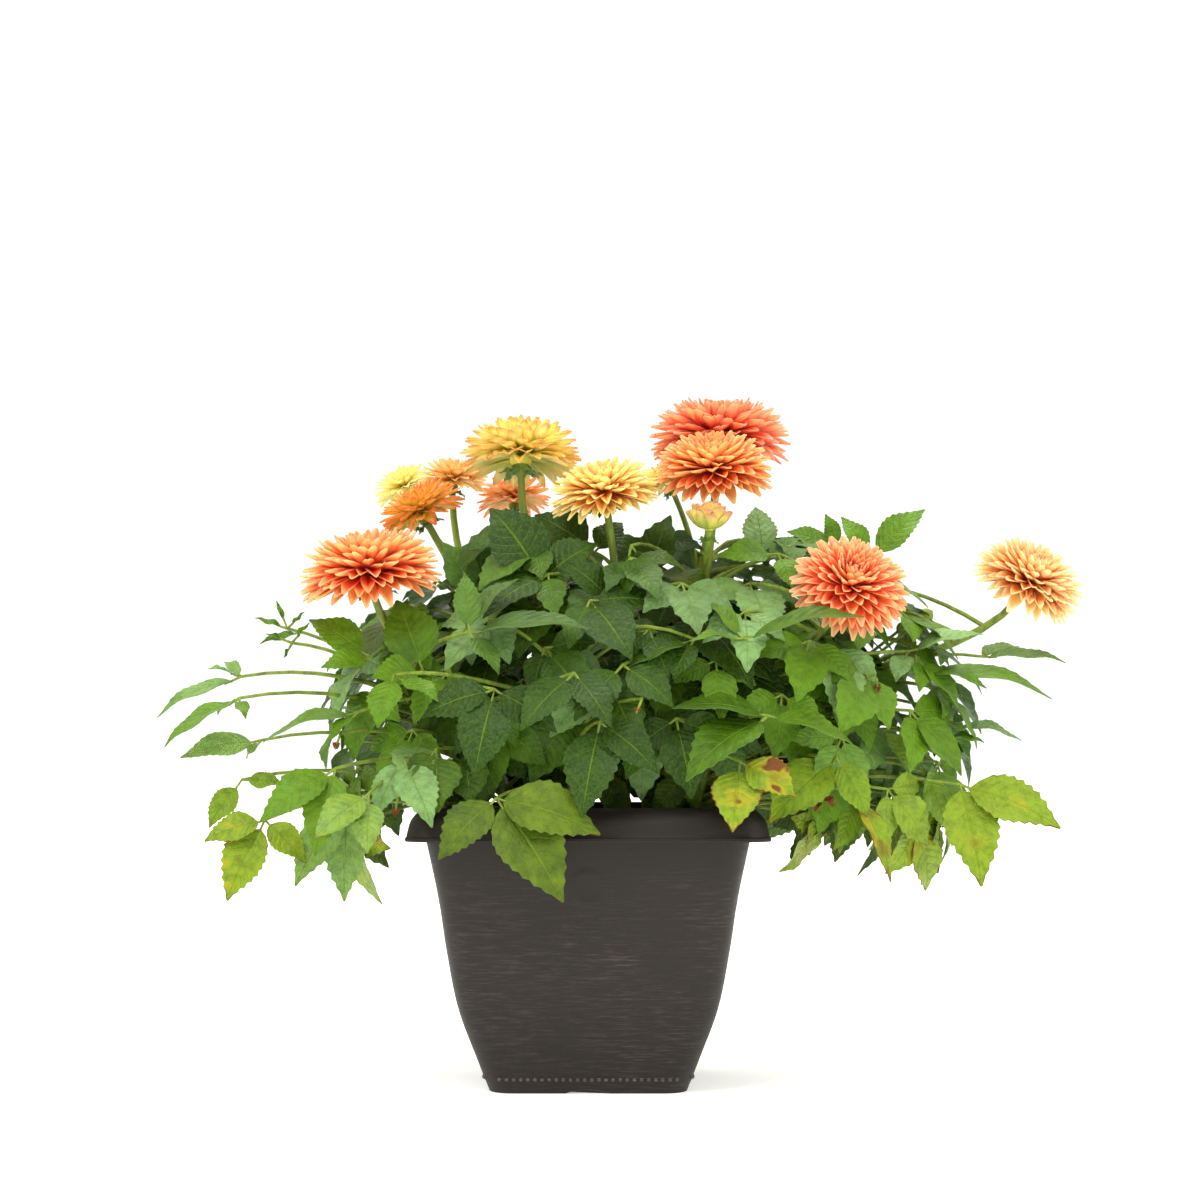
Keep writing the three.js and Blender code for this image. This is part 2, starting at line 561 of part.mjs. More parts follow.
// The core is tiled with diamonds, and each diamond is the root of one petal
function makeHead(head) {
  const frame = headFrame(head);
  const core = CORE_RADIUS * head.radius;
  const elevations = head.bud ? BUD_ELEVATIONS : RING_ELEVATIONS;
  const rows = head.bud ? BUD_ROWS : PETAL_ROWS;
  const middle = vec(...head.seat)
    .addScaledVector(frame.axis, GAP - core * Math.sin(radians(elevations[0])));
  const slot = Math.PI / head.petals;
  const points = [];
  const triangles = [];
  const add = (point) => points.push(point) - 1;
  const rings = elevations.map((elevation, k) => Array.from({ length: head.petals }, (_, j) =>
    add(middle.clone().addScaledVector(frame.ray((2 * j + k % 2) * slot, elevation), core))));
  const pole = add(middle.clone().addScaledVector(frame.axis, core));
  rings.push(Array(head.petals).fill(pole));
  for (let j = 0; j < head.petals; j += 1) {
    const next = (j + 1) % head.petals;
    triangles.push([rings[0][j], rings[0][next], rings[1][j]]);
    if (j > 0 && next > 0) {
      triangles.push([rings[0][0], rings[0][next], rings[0][j]]);
    }
  }
  rows.forEach((row, index) => {
    const k = index + 1;
    for (let j = 0; j < head.petals; j += 1) {
      const beside = (j + k % 2) % head.petals;
      const root = [
        rings[k][j], rings[k - 1][beside], rings[k][(j + 1) % head.petals], rings[k + 1][beside],
      ];
      const turn = (2 * j + 1 + k % 2) * slot;
      const length = row.reach * head.radius;
      const tipWay = frame.ray(turn, row.elevation + row.curl);
      const tip = add(middle.clone().addScaledVector(tipWay, length));
      if (row.full) {
        const section = petalSection(frame, middle, turn, row, length, slot).map(add);
        root.forEach((corner, i) => {
          const other = (i + 1) % 4;
          triangles.push([corner, root[other], section[other]], [corner, section[other], section[i]]);
          triangles.push([section[i], section[other], tip]);
        });
      } else {
        root.forEach((corner, i) => triangles.push([corner, root[(i + 1) % 4], tip]));
      }
    }
  });
  return body(points, triangles);
}

// Leaves

// A blade's own directions: along its rib, to its side, and up out of its face
function bladeFrame(base, tip, facing) {
  const along = tip.clone().sub(base).normalize();
  const side = across(along, facing);
  const up = new THREE.Vector3().crossVectors(side, along);
  return { base, along, side, up, length: tip.distanceTo(base) };
}

// A point of a blade from a share of its length, the distance from its rib and a height over it
function bladePoint(frame, share, sideways, raised = 0) {
  const arch = BLADE_ARCH * frame.length * 4 * share * (1 - share);
  return frame.base.clone()
    .addScaledVector(frame.along, share * frame.length)
    .addScaledVector(frame.side, sideways)
    .addScaledVector(frame.up, arch + BLADE_FOLD * Math.abs(sideways) + raised);
}

// Adds a blade's corners and faces to a body that is being made. What comes back is the blade's
// open base ring: top, right, bottom, left.
function addBlade(whole, base, tip, leaf, room = 0) {
  const frame = bladeFrame(base, tip, leaf.facing);
  const half = leaf.ratio * frame.length + room;
  const add = (point) => whole.points.push(point) - 1;
  const edge = (sign) =>
    leaf.outline.edge.map(([share, width]) => add(bladePoint(frame, share, sign * width * half)));
  const rib = (raised) => [0, leaf.outline.rib].map((share) => add(bladePoint(frame, share, 0, raised)));
  const right = edge(1);
  const left = edge(-1);
  const top = rib(RIB_THICKNESS / 2 + room);
  const bottom = rib(-RIB_THICKNESS / 2 - room);
  const end = add(bladePoint(frame, 1, 0));
  const face = (ribs, sidePoints, turned) => {
    const push = (a, b, c) => whole.triangles.push(turned ? [a, c, b] : [a, b, c]);
    push(ribs[0], sidePoints[0], sidePoints[1]);
    push(ribs[0], sidePoints[1], ribs[1]);
    for (let i = 1; i < sidePoints.length; i += 1) {
      push(ribs[1], sidePoints[i], sidePoints[i + 1] ?? end);
    }
  };
  face(top, right, false);
  face(top, left, true);
  face(bottom, right, true);
  face(bottom, left, false);
  return [top[0], right[0], bottom[0], left[0]];
}

function stalkRing(centre, along, facing, radius) {
  const side = across(along, facing);
  const up = new THREE.Vector3().crossVectors(side, along);
  return [[up, 1], [side, 1], [up, -1], [side, -1]].map(([way, sign]) =>
    centre.clone().addScaledVector(way, sign * radius));
}

function addBand(whole, near, far, open = []) {
  for (let i = 0; i < 4; i += 1) {
    const next = (i + 1) % 4;
    if (!open.includes(i)) {
      whole.triangles.push([near[i], near[next], far[next]], [near[i], far[next], far[i]]);
    }
  }
}

function addCap(whole, ring) {
  whole.triangles.push([ring[0], ring[2], ring[1]], [ring[0], ring[3], ring[2]]);
}

// A side leaflet grows out of the open side of the leaf stalk between two of its rings
function addSideLeaflet(whole, near, far, way, ring) {
  const loop = way > 0
    ? [far[0], near[0], near[1], near[2], far[2], far[1]]
    : [near[0], far[0], far[3], far[2], near[2], near[3]];
  const [q0, q1, q2, q3] = ring;
  whole.triangles.push(
    [loop[0], loop[1], q0], [loop[1], loop[2], q1], [loop[1], q1, q0],
    [loop[2], loop[3], q2], [loop[2], q2, q1], [loop[3], loop[4], q2],
    [loop[4], loop[5], q3], [loop[4], q3, q2], [loop[5], loop[0], q0], [loop[5], q0, q3],
  );
}

// A blade alone with some room round it, to test what it would cross
function loneBlade(base, tip, leaf) {
  const whole = { points: [], triangles: [] };
  addCap(whole, addBlade(whole, base, tip, leaf, ROOM));
  return body(whole.points, whole.triangles);
}

function loneNeck(centre, base, facing) {
  const along = base.clone().sub(centre).normalize();
  return loft([centre, base].map((point) => stalkRing(point, along, facing, NODE_RADIUS + ROOM)));
}

// Where a leaf may leave each stem: a little below the place where its leaflets meet. The stems
// that stand nearest come first.
function attachments(hub) {
  return stemCurves.map((curve, stem) => {
    const share = (hub.z - ROOT_BELOW_HUB - STEM_START) / (curve.v3.z - STEM_START);
    const t = THREE.MathUtils.clamp(share, ...ROOT_RANGE);
    return { stem, t, distance: curve.getPoint(t).distanceTo(hub) };
  }).sort((a, b) => a.distance - b.distance);
}

// A point inside a stem: on the straight line between the middles of two of its rings
function facetPoint(stem, t) {
  const curve = stemCurves[stem];
  const stop = stalkEnd(curve, headOf(stem));
  const step = Math.min(Math.floor(t / stop * STEM_STEPS), STEM_STEPS - 1);
  const [low, high] = [step, step + 1].map((k) => curve.getPoint(stop * k / STEM_STEPS));
  return low.lerp(high, t / stop * STEM_STEPS - step);
}

// Where the leaf lies in one try: the first is the leaf as given, later ones bend its stalk another
// way, take another stem near by and move its leaflets a little
function leafPose(leaf, attempt) {
  const draw = draws(leaf.seed * 64 + attempt);
  const shift = (reach) =>
    vec(draw() - 0.5, draw() - 0.5, draw() - 0.5).multiplyScalar(2 * reach);
  const late = Math.sqrt(Math.max(0, attempt - STILL_TRIES));
  const hubShift = shift(HUB_STEP * late);
  const tipShift = shift(TIP_STEP * Math.sqrt(attempt) + HUB_STEP * late).add(hubShift);
  const bendShift = shift(BEND_STEP * Math.sqrt(attempt));
  const hub = leaf.hub.clone().add(hubShift);
  const tips = leaf.tips.map((tip) => tip.clone().add(tipShift));
  const { stem, t } = attachments(leaf.hub)[Math.floor(attempt / TRIES_PER_ROOT) % ROOTS_TRIED];
  const root = facetPoint(stem, t + ROOT_SPREAD * (draw() - 0.5));
  const bend = root.clone().add(hub).multiplyScalar(0.5).add(bendShift)
    .addScaledVector(UP, PETIOLE_LIFT * root.distanceTo(hub));
  return { hub, tips, stem, curve: new THREE.QuadraticBezierCurve3(root, bend, hub) };
}

// Side leaflets stand in pairs, one each way, and a further pair stands further back on the stalk
function pairLeaflets(hub, tips, side) {
  const nodes = [];
  for (const tip of tips) {
    const way = Math.sign(tip.clone().sub(hub).dot(side));
    const free = nodes.find((node) => !node.some((leaflet) => leaflet.way === way));
    if (free) {
      free.push({ tip, way });
    } else {
      nodes.push([{ tip, way }]);
    }
  }
  return nodes.reverse();
}

// The leaf as one body, and its blades and stalk alone for the tests of what they cross
function makeLeaf(leaf, attempt) {
  const { hub, tips: [end, ...others], stem, curve } = leafPose(leaf, attempt);
  const { facing } = leaf;
  const ahead = end.clone().sub(hub).normalize();
  const arriving = curve.getTangent(1);
  const nodes = pairLeaflets(hub, others, across(ahead, facing));
  const whole = { points: [], triangles: [] };
  const roomyRings = [];
  const blades = [];
  const necks = [];
  const addRing = (centre, along, radius) => {
    roomyRings.push(stalkRing(centre, along, facing, radius + ROOM));
    return stalkRing(centre, along, facing, radius).map((point) => whole.points.push(point) - 1);
  };
  const first = addRing(curve.getPoint(0), curve.getTangent(0), PETIOLE_RADIUS);
  addCap(whole, first);
  const halfWay = 1 - PETIOLE_TAPER / 2;
  let previous = addRing(curve.getPoint(0.5), curve.getTangent(0.5), halfWay * PETIOLE_RADIUS);
  addBand(whole, first, previous);
  nodes.forEach((node, index) => {
    const stepsBack = nodes.length - 1 - index;
    const along = stepsBack === 0 ? arriving.clone().add(ahead).normalize() : arriving;
    const centre = hub.clone().addScaledVector(arriving, -NODE_SPACING * stepsBack);
    const near = addRing(centre.clone().addScaledVector(along, -NODE_HALF), along, NODE_RADIUS);
    const far = addRing(centre.clone().addScaledVector(along, NODE_HALF), along, NODE_RADIUS);
    addBand(whole, previous, near);
    addBand(whole, near, far, node.flatMap(({ way }) => (way > 0 ? [0, 1] : [2, 3])));
    for (const { tip, way } of node) {
      const base = centre.clone().addScaledVector(tip.clone().sub(centre).normalize(), SIDE_NECK);
      addSideLeaflet(whole, near, far, way, addBlade(whole, base, tip, leaf));
      blades.push(loneBlade(base, tip, leaf));
      necks.push(loneNeck(centre, base, facing));
    }
    previous = far;
  });
  const base = hub.clone().addScaledVector(ahead, END_NECK);
  addBand(whole, previous, addBlade(whole, base, end, leaf));
  blades.push(loneBlade(base, end, leaf));
  necks.push(loneNeck(hub, base, facing), loft(roomyRings));
  return { stem, blades, necks, solid: body(whole.points, whole.triangles) };
}

function shapedLeaves() {
  return LEAVES.map(({ hub, tips, side, ratio = BLADE_RATIO }, index) => ({
    seed: index + 1,
    hub: vec(...hub),
    tips: tips.map((tip) => vec(...tip)),
    facing: side.clone().normalize(),
    ratio,
    outline: ratio >= TOOTHED_RATIO ? TOOTHED : SIMPLE,
    lateLimit: OWN_LATE_VOLUME,
  }));
}

// A leaf placed by rule, with a side leaflet each way of its end leaflet
function ruledLeaf(seed, draw, hub, tip, facing) {
  const frame = bladeFrame(hub, tip, facing);
  const pair = [-1, 1].map((sign) => {
    const spread = radians(between(PAIR_ANGLE, draw()));
    const share = between(PAIR_LENGTH, draw());
    const direction = frame.along.clone().multiplyScalar(Math.cos(spread))
      .addScaledVector(frame.side, sign * Math.sin(spread)).addScaledVector(frame.up, -PAIR_SAG);
    return hub.clone().addScaledVector(direction, share * frame.length);
  });
  return {
    seed, hub, tips: [tip, ...pair], facing, ratio: between(RULED_RATIO, draw()), outline: PLAIN,
    lateLimit: OWN_HIT_VOLUME,
  };
}

const isKeptFree = ({ x, y }) =>
  y < FRONT_KEPT_FREE || (Math.abs(x) > SIDE_KEPT_FREE.x && y < SIDE_KEPT_FREE.y);

// Blades of the skirt look up, and away from the middle of the plant
function skirtLeaf(turn) {
  const seed = SKIRT_SEEDS + turn;
  const draw = draws(seed);
  const angle = turn * GOLDEN_TURN;
  const reach = between(SKIRT.reach, draw());
  const height = between(SKIRT.height, draw());
  const length = between(SKIRT.length, draw());
  const drop = between(SKIRT.drop, draw());
  const out = vec(Math.cos(angle) * SKIRT_WIDTH, Math.sin(angle), 0);
  const hub = out.clone().multiplyScalar(reach).add(vec(SKIRT_CENTRE_X, 0, height));
  const way = out.clone().normalize().applyAxisAngle(UP, SKIRT_SWING * (draw() - 0.5));
  const tip = hub.clone().addScaledVector(way, length).addScaledVector(UP, -drop);
  const facing = vec(hub.x + tip.x, hub.y + tip.y, 0).setLength(SKIRT_LOOK.out)
    .addScaledVector(UP, SKIRT_LOOK.up);
  return isKeptFree(hub) ? null : ruledLeaf(seed, draw, hub, tip, facing);
}

function skirtLeaves() {
  const leaves = [];
  for (let turn = 0; leaves.length < SKIRT.count; turn += 1) {
    leaves.push(...[skirtLeaf(turn)].filter(Boolean));
  }
  return leaves;
}

const fuller = (share) => Math.sign(share) * Math.abs(share) ** DOME_FULLNESS;

function domeLeaf(layer, turn) {
  const seed = layer.seeds + turn;
  const draw = draws(seed);
  const limits = layer.elevation.map((limit) => Math.sin(radians(limit)));
  const rise = between(limits, (turn + 0.5) / layer.count);
  const flat = Math.sqrt(1 - rise ** 2);
  const angle = turn * GOLDEN_TURN + layer.start;
  const away = vec(Math.cos(angle) * fuller(flat), Math.sin(angle) * fuller(flat), fuller(rise));
  const hub = away.clone().multiply(DOME_AXES)
    .multiplyScalar(layer.shell * between(DOME_SPREAD, draw())).add(DOME_MIDDLE);
  const normal = away.clone().divide(DOME_AXES).normalize();
  const facing = normal.clone().addScaledVector(UP, DOME_LOOK_UP).normalize();
  const down = vec(normal.x, normal.y, 0).multiplyScalar(DOME_HANG.out)
    .addScaledVector(UP, -DOME_HANG.least - DOME_HANG.most * flat);
  const way = down.addScaledVector(facing, -down.dot(facing)).normalize()
    .applyAxisAngle(facing, DOME_SWING * (draw() - 0.5));
  const tip = hub.clone().addScaledVector(way, between(DOME_LENGTH, draw()))
    .addScaledVector(facing, -DOME_DIP * draw());
  return ruledLeaf(seed, draw, hub, tip, facing);
}

// Whether a point stands between a flower head and a viewer in front
function hidesHead(point) {
  return HEADS.some((head) => {
    const middle = vec(...head.seat).addScaledVector(unit(head.axis), HEAD_MIDDLE * head.radius);
    const seen = VIEWER.clone().lerp(point, (middle.y - VIEWER.y) / (point.y - VIEWER.y));
    return point.y < middle.y && seen.distanceTo(middle) < head.radius + CLEAR_SIGHT;
  });
}

function domeLeaves() {
  const leaves = DOME.flatMap((layer) =>
    Array.from({ length: layer.count }, (_, turn) => domeLeaf(layer, turn)));
  return leaves.filter(({ hub, tips }) => ![hub, ...tips].some(hidesHead));
}

// Placing

// Solids placed so far, each with its box and, for stalks and leaves, the stem that they belong to
const placed = [];

function placing(solid, owner = {}) {
  return { solid, box: solid.boundingBox(), ...owner };
}

function boxesMeet(a, b) {
  return a.min.every((low, i) => low <= b.max[i]) && b.min.every((low, i) => low <= a.max[i]);
}

function sharedVolume(first, second) {
  return boxesMeet(first.box, second.box) ? first.solid.intersect(second.solid).volume() : 0;
}

const apart = (first, second) => sharedVolume(first, second) < HIT_VOLUME;

function isClear(part, ownLimit) {
  return placed.every((other) => {
    if (other.stem !== part.stem) {
      return apart(part, other);
    }
    return other.isStalk || sharedVolume(part, other) < ownLimit;
  });
}

// A leaf takes its first pose that is clear of every other stem, head and leaf. One that finds none
// is left out.
function placeLeaf(leaf, stems) {
  for (let attempt = 0; attempt < TRIES; attempt += 1) {
    const { stem, blades, necks, solid } = makeLeaf(leaf, attempt);
    const parts = [...blades, ...necks].map((part) => placing(part, { stem }));
    const ownLimit = attempt < STRICT_TRIES ? OWN_HIT_VOLUME : leaf.lateLimit;
    const bladesApart = parts.slice(0, blades.length)
      .every((blade, index) => parts.slice(0, index).every((other) => apart(blade, other)));
    if (bladesApart && parts.every((part) => isClear(part, ownLimit))) {
      placed.push(...parts);
      stems[stem].push(solid);
      return;
    }
  }
}

const pot = makePot();
const soil = makeSoil();
const heads = HEADS.map(makeHead);
const stems = STEMS.map((_, index) => makeStem(index));
placed.push(...[pot, soil, ...heads].map((solid) => placing(solid)));
stems.forEach((solids, stem) =>
  placed.push(...solids.map((solid) => placing(solid, { stem, isStalk: true }))));
for (const leaf of [...shapedLeaves(), ...domeLeaves(), ...skirtLeaves()]) {
  placeLeaf(leaf, stems);
}

const group = new THREE.Group();

function addNode(name, solid, color, roughness) {
  const material = new THREE.MeshStandardMaterial({ color, roughness, metalness: 0 });
  const mesh = new THREE.Mesh(geometryOf(solid), material);
  mesh.name = name;
  group.add(mesh);
}

addNode("pot", pot, 0x3a3430, 0.55);
addNode("soil", soil, 0x3b2a1e, 0.95);
stems.forEach((solids, index) => {
  const name = `leafy_stem_${String(index + 1).padStart(2, "0")}`;
  addNode(name, wasm.Manifold.union(solids), 0x3f7a34, 0.6);
});
HEADS.forEach((head, index) => addNode(head.name, heads[index], head.color, 0.7));

export default group;
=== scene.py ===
"""A dahlia in flower in a square planter: petals, leaves, stalks, soil and moulded plastic, modelled
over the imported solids. The file is laid out as an add-on and is run as a script."""
import math
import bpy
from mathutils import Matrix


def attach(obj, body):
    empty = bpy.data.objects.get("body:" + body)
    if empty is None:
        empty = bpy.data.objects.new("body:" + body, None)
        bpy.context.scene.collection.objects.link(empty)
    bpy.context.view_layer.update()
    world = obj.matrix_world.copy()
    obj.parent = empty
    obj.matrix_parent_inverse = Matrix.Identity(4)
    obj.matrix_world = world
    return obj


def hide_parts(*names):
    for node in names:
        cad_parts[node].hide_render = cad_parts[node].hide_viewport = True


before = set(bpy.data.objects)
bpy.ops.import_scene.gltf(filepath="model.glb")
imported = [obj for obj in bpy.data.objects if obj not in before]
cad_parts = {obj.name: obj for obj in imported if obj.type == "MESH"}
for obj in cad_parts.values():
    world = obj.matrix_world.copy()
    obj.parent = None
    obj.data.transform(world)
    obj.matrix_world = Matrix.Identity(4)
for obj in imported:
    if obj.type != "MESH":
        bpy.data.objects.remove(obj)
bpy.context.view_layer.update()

from types import SimpleNamespace

import bmesh
import bpy
from bpy.props import FloatProperty, FloatVectorProperty, IntProperty, PointerProperty
from mathutils import Matrix, Vector, kdtree, noise

bl_info = {
    "name": "Potted dahlia",
    "version": (1, 0, 0),
    "blender": (4, 5, 0),
    "location": "View3D > Sidebar > Dahlia",
    "description": "Dresses the solids of a potted dahlia with petals, leaves, soil and moulded plastic",
    "category": "Object",
}

# Sizes below are in millimetres, as in the part's source, and a finished piece is scaled to metres
MM = 0.001
UP = Vector((0, 0, 1))
AHEAD = Vector((1, 0, 0))

# Angles that are drawn go round about once, in radians
FULL_TURN = 6.28

# Planter, as in the part's source: half widths of the body's outside at heights above the ground
CORNER_RADIUS = 22
WALL = 3.2
FOOT_HALF = 84
FOOT_CORNER = 20
FOOT_EDGE = 0.6
LIP_BOTTOM = 215
BODY_OUTSIDE = [(85.5, 2), (94, 25), (110.5, 72), (120, 121), (126.5, 165), (136.5, LIP_BOTTOM)]
LIP_HALF = 153
LIP_SHOULDER = 233
LIP_SHOULDER_HALF = 148.5
LIP_WALL = 2.8
RIM_TOP_HALF = 138.5
RIM_WIDTH = 4.2
POT_HEIGHT = 243
ARCH_WIDTH = 39
ARCH_HEIGHT = 3.2
ARCH_FADE = 12
SOIL_TOP = 222
SOIL_EDGE = 216

# Stems, as in the part's source
STEM_FOOT = 178
STEM_START = SOIL_TOP + 4
STEM_RADIUS = 4.6
STALK_RADIUS = 3.1
STEM_RISE = 0.4
STEM_ARRIVAL = 0.3
BRANCH_RISE = 0.25
BRANCH_ARRIVAL = 0.4
BRANCH_RADIUS = 0.8 * STALK_RADIUS
CALYX_LENGTH = 13
CORE_SHARE = 0.2
SEAT_ELEVATION = math.radians(-38)
CALYX_FIT = 0.96
SEAT_GAP = 0.3

# Leaf stalks and blades, as in the part's source
PETIOLE_RADIUS = 1.8
PETIOLE_LIFT = 0.16
NODE_RADIUS = 1.3
NODE_SPACING = 13
SIDE_NECK = 6
END_NECK = 9
BLADE_ARCH = 0.09
BLADE_FOLD = 0.16
BLADE_RATIO = 0.28
ROOT_BELOW_HUB = 35
ROOT_RANGE = (0.1, 0.84)
ROOT_SPREAD = 0.12
STILL_TRIES = 12
TRIES = 60
TRIES_AT_STEM = 3
NEAR_STEMS = 3
POSE_SEEDS = 64
HUB_STEP = 2.2
TIP_STEP = 0.3
BEND_STEP = 8
SAME_PLACE = 0.08

STEMS = [
    ((-72, -38), None, None),
    ((-58, 8), None, None),
    ((-62, 52), None, None),
    ((-20, 8), None, None),
    ((-22, 72), None, None),
    ((32, -34), None, None),
    ((72, -8), None, None),
    ((52, 48), None, None),
    ((92, -58), None, None),
    ((100, 26), None, None),
    ((-14, -76), (-20, -104, 372), (-0.1, -0.3, 1)),
    ((-98, -4), (-172, -26, 352), (-0.75, -0.1, 0.6)),
    ((104, -20), (188, -46, 318), (0.8, -0.15, 0.55)),
    ((18, 98), (26, 150, 440), (0.1, 0.4, 0.9)),
]

# Green buds: stem, where on it their stalk starts, middle of the bud, radius
GREEN_BUDS = [(9, 0.5, (303, 14, 412), 7), (9, 0.46, (284, 30, 402), 5.5)]

# Heads: stem, place of a side stalk on it, seat, the way the head looks, radius, petals, slot, where
# on a petal its tip colour starts, then the colours of a petal at its root, in its middle, at its tip
# and on its back
HEAD_FIELDS = (
    "name", "stem", "branch", "seat", "axis", "radius", "petals", "slot", "tip_from", "colours",
)
HEAD_ROWS = [
    ("bloom_left_coral", 0, None, (-186, -94, 434), (-0.12, -0.2, 0.97), 62, 220, "petals_coral", 0.72,
     ("#F8452E", "#F6502F", "#FBB07C", "#F98052")),
    ("bloom_left_gold", 1, None, (-148, 4, 500), (-0.5, -0.1, 0.86), 42, 130, "petals_gold", 0.6,
     ("#FADC40", "#F6923A", "#BE3A24", "#F8BE54")),
    ("bloom_back_orange", 2, None, (-127, 82, 538), (0.05, -0.05, 1), 34, 96, "petals_orange", 0.7,
     ("#F6BC4A", "#F09048", "#F2A878", "#F6B880")),
    ("bloom_back_pale", 2, 0.62, (-174, 140, 538), (-0.4, 0.1, 0.9), 32, 90, "petals_pale", 0.8,
     ("#F9E36A", "#FAE274", "#F8D060", "#FBEB9A")),
    ("bloom_top_yellow", 3, None, (-61, 4, 547), (0, 0.16, 0.98), 56, 180, "petals_gold", 0.74,
     ("#DCD834", "#FFE062", "#CE5A34", "#FFE68C")),
    ("bloom_back_small", 4, None, (-72, 138, 526), (-0.12, 0.15, 0.97), 37, 104, "petals_orange", 0.62,
     ("#F09A44", "#F0945A", "#B83A34", "#F2AE7C")),
    ("bloom_middle", 5, None, (15, -52, 509), (-0.16, -0.25, 0.95), 49, 190, "petals_gold", 0.6,
     ("#F8842C", "#F7843A", "#FEDD88", "#FDD67C")),
    ("bloom_front_peach", 6, None, (111, -34, 531), (-0.05, -0.38, 0.92), 53, 196, "petals_orange", 0.78,
     ("#F25C2A", "#EE5A30", "#F9AC6C", "#F59C64")),
    ("bud_half_open", 6, 0.6, (104, -84, 480), (0.06, -0.1, 1), 25, 30, "petals_pale", 0.74,
     ("#BECB44", "#EFC45C", "#A8505C", "#DCC45C")),
    ("bloom_top_red", 7, None, (122, 92, 572), (0, -0.12, 0.99), 67, 220, "petals_coral", 0.72,
     ("#F03A30", "#EF3E34", "#F68878", "#F26A5C")),
    ("bloom_back_gold", 7, 0.62, (74, 46, 534), (-0.4, 0.05, 0.9), 29, 86, "petals_gold", 0.84,
     ("#F6D24C", "#F6C048", "#C9563A", "#F8D478")),
    ("bloom_right_coral", 8, None, (222, -96, 426), (0.2, -0.72, 0.66), 52, 196, "petals_coral", 0.72,
     ("#F2482C", "#F35230", "#FBB688", "#F88A5C")),
    ("bloom_far_peach", 9, None, (393, 12, 437), (0.4, -0.45, 0.8), 51, 190, "petals_orange", 0.66,
     ("#F98A3C", "#F88A4A", "#FDD69E", "#FCC890")),
]
HEADS = [SimpleNamespace(**dict(zip(HEAD_FIELDS, row))) for row in HEAD_ROWS]

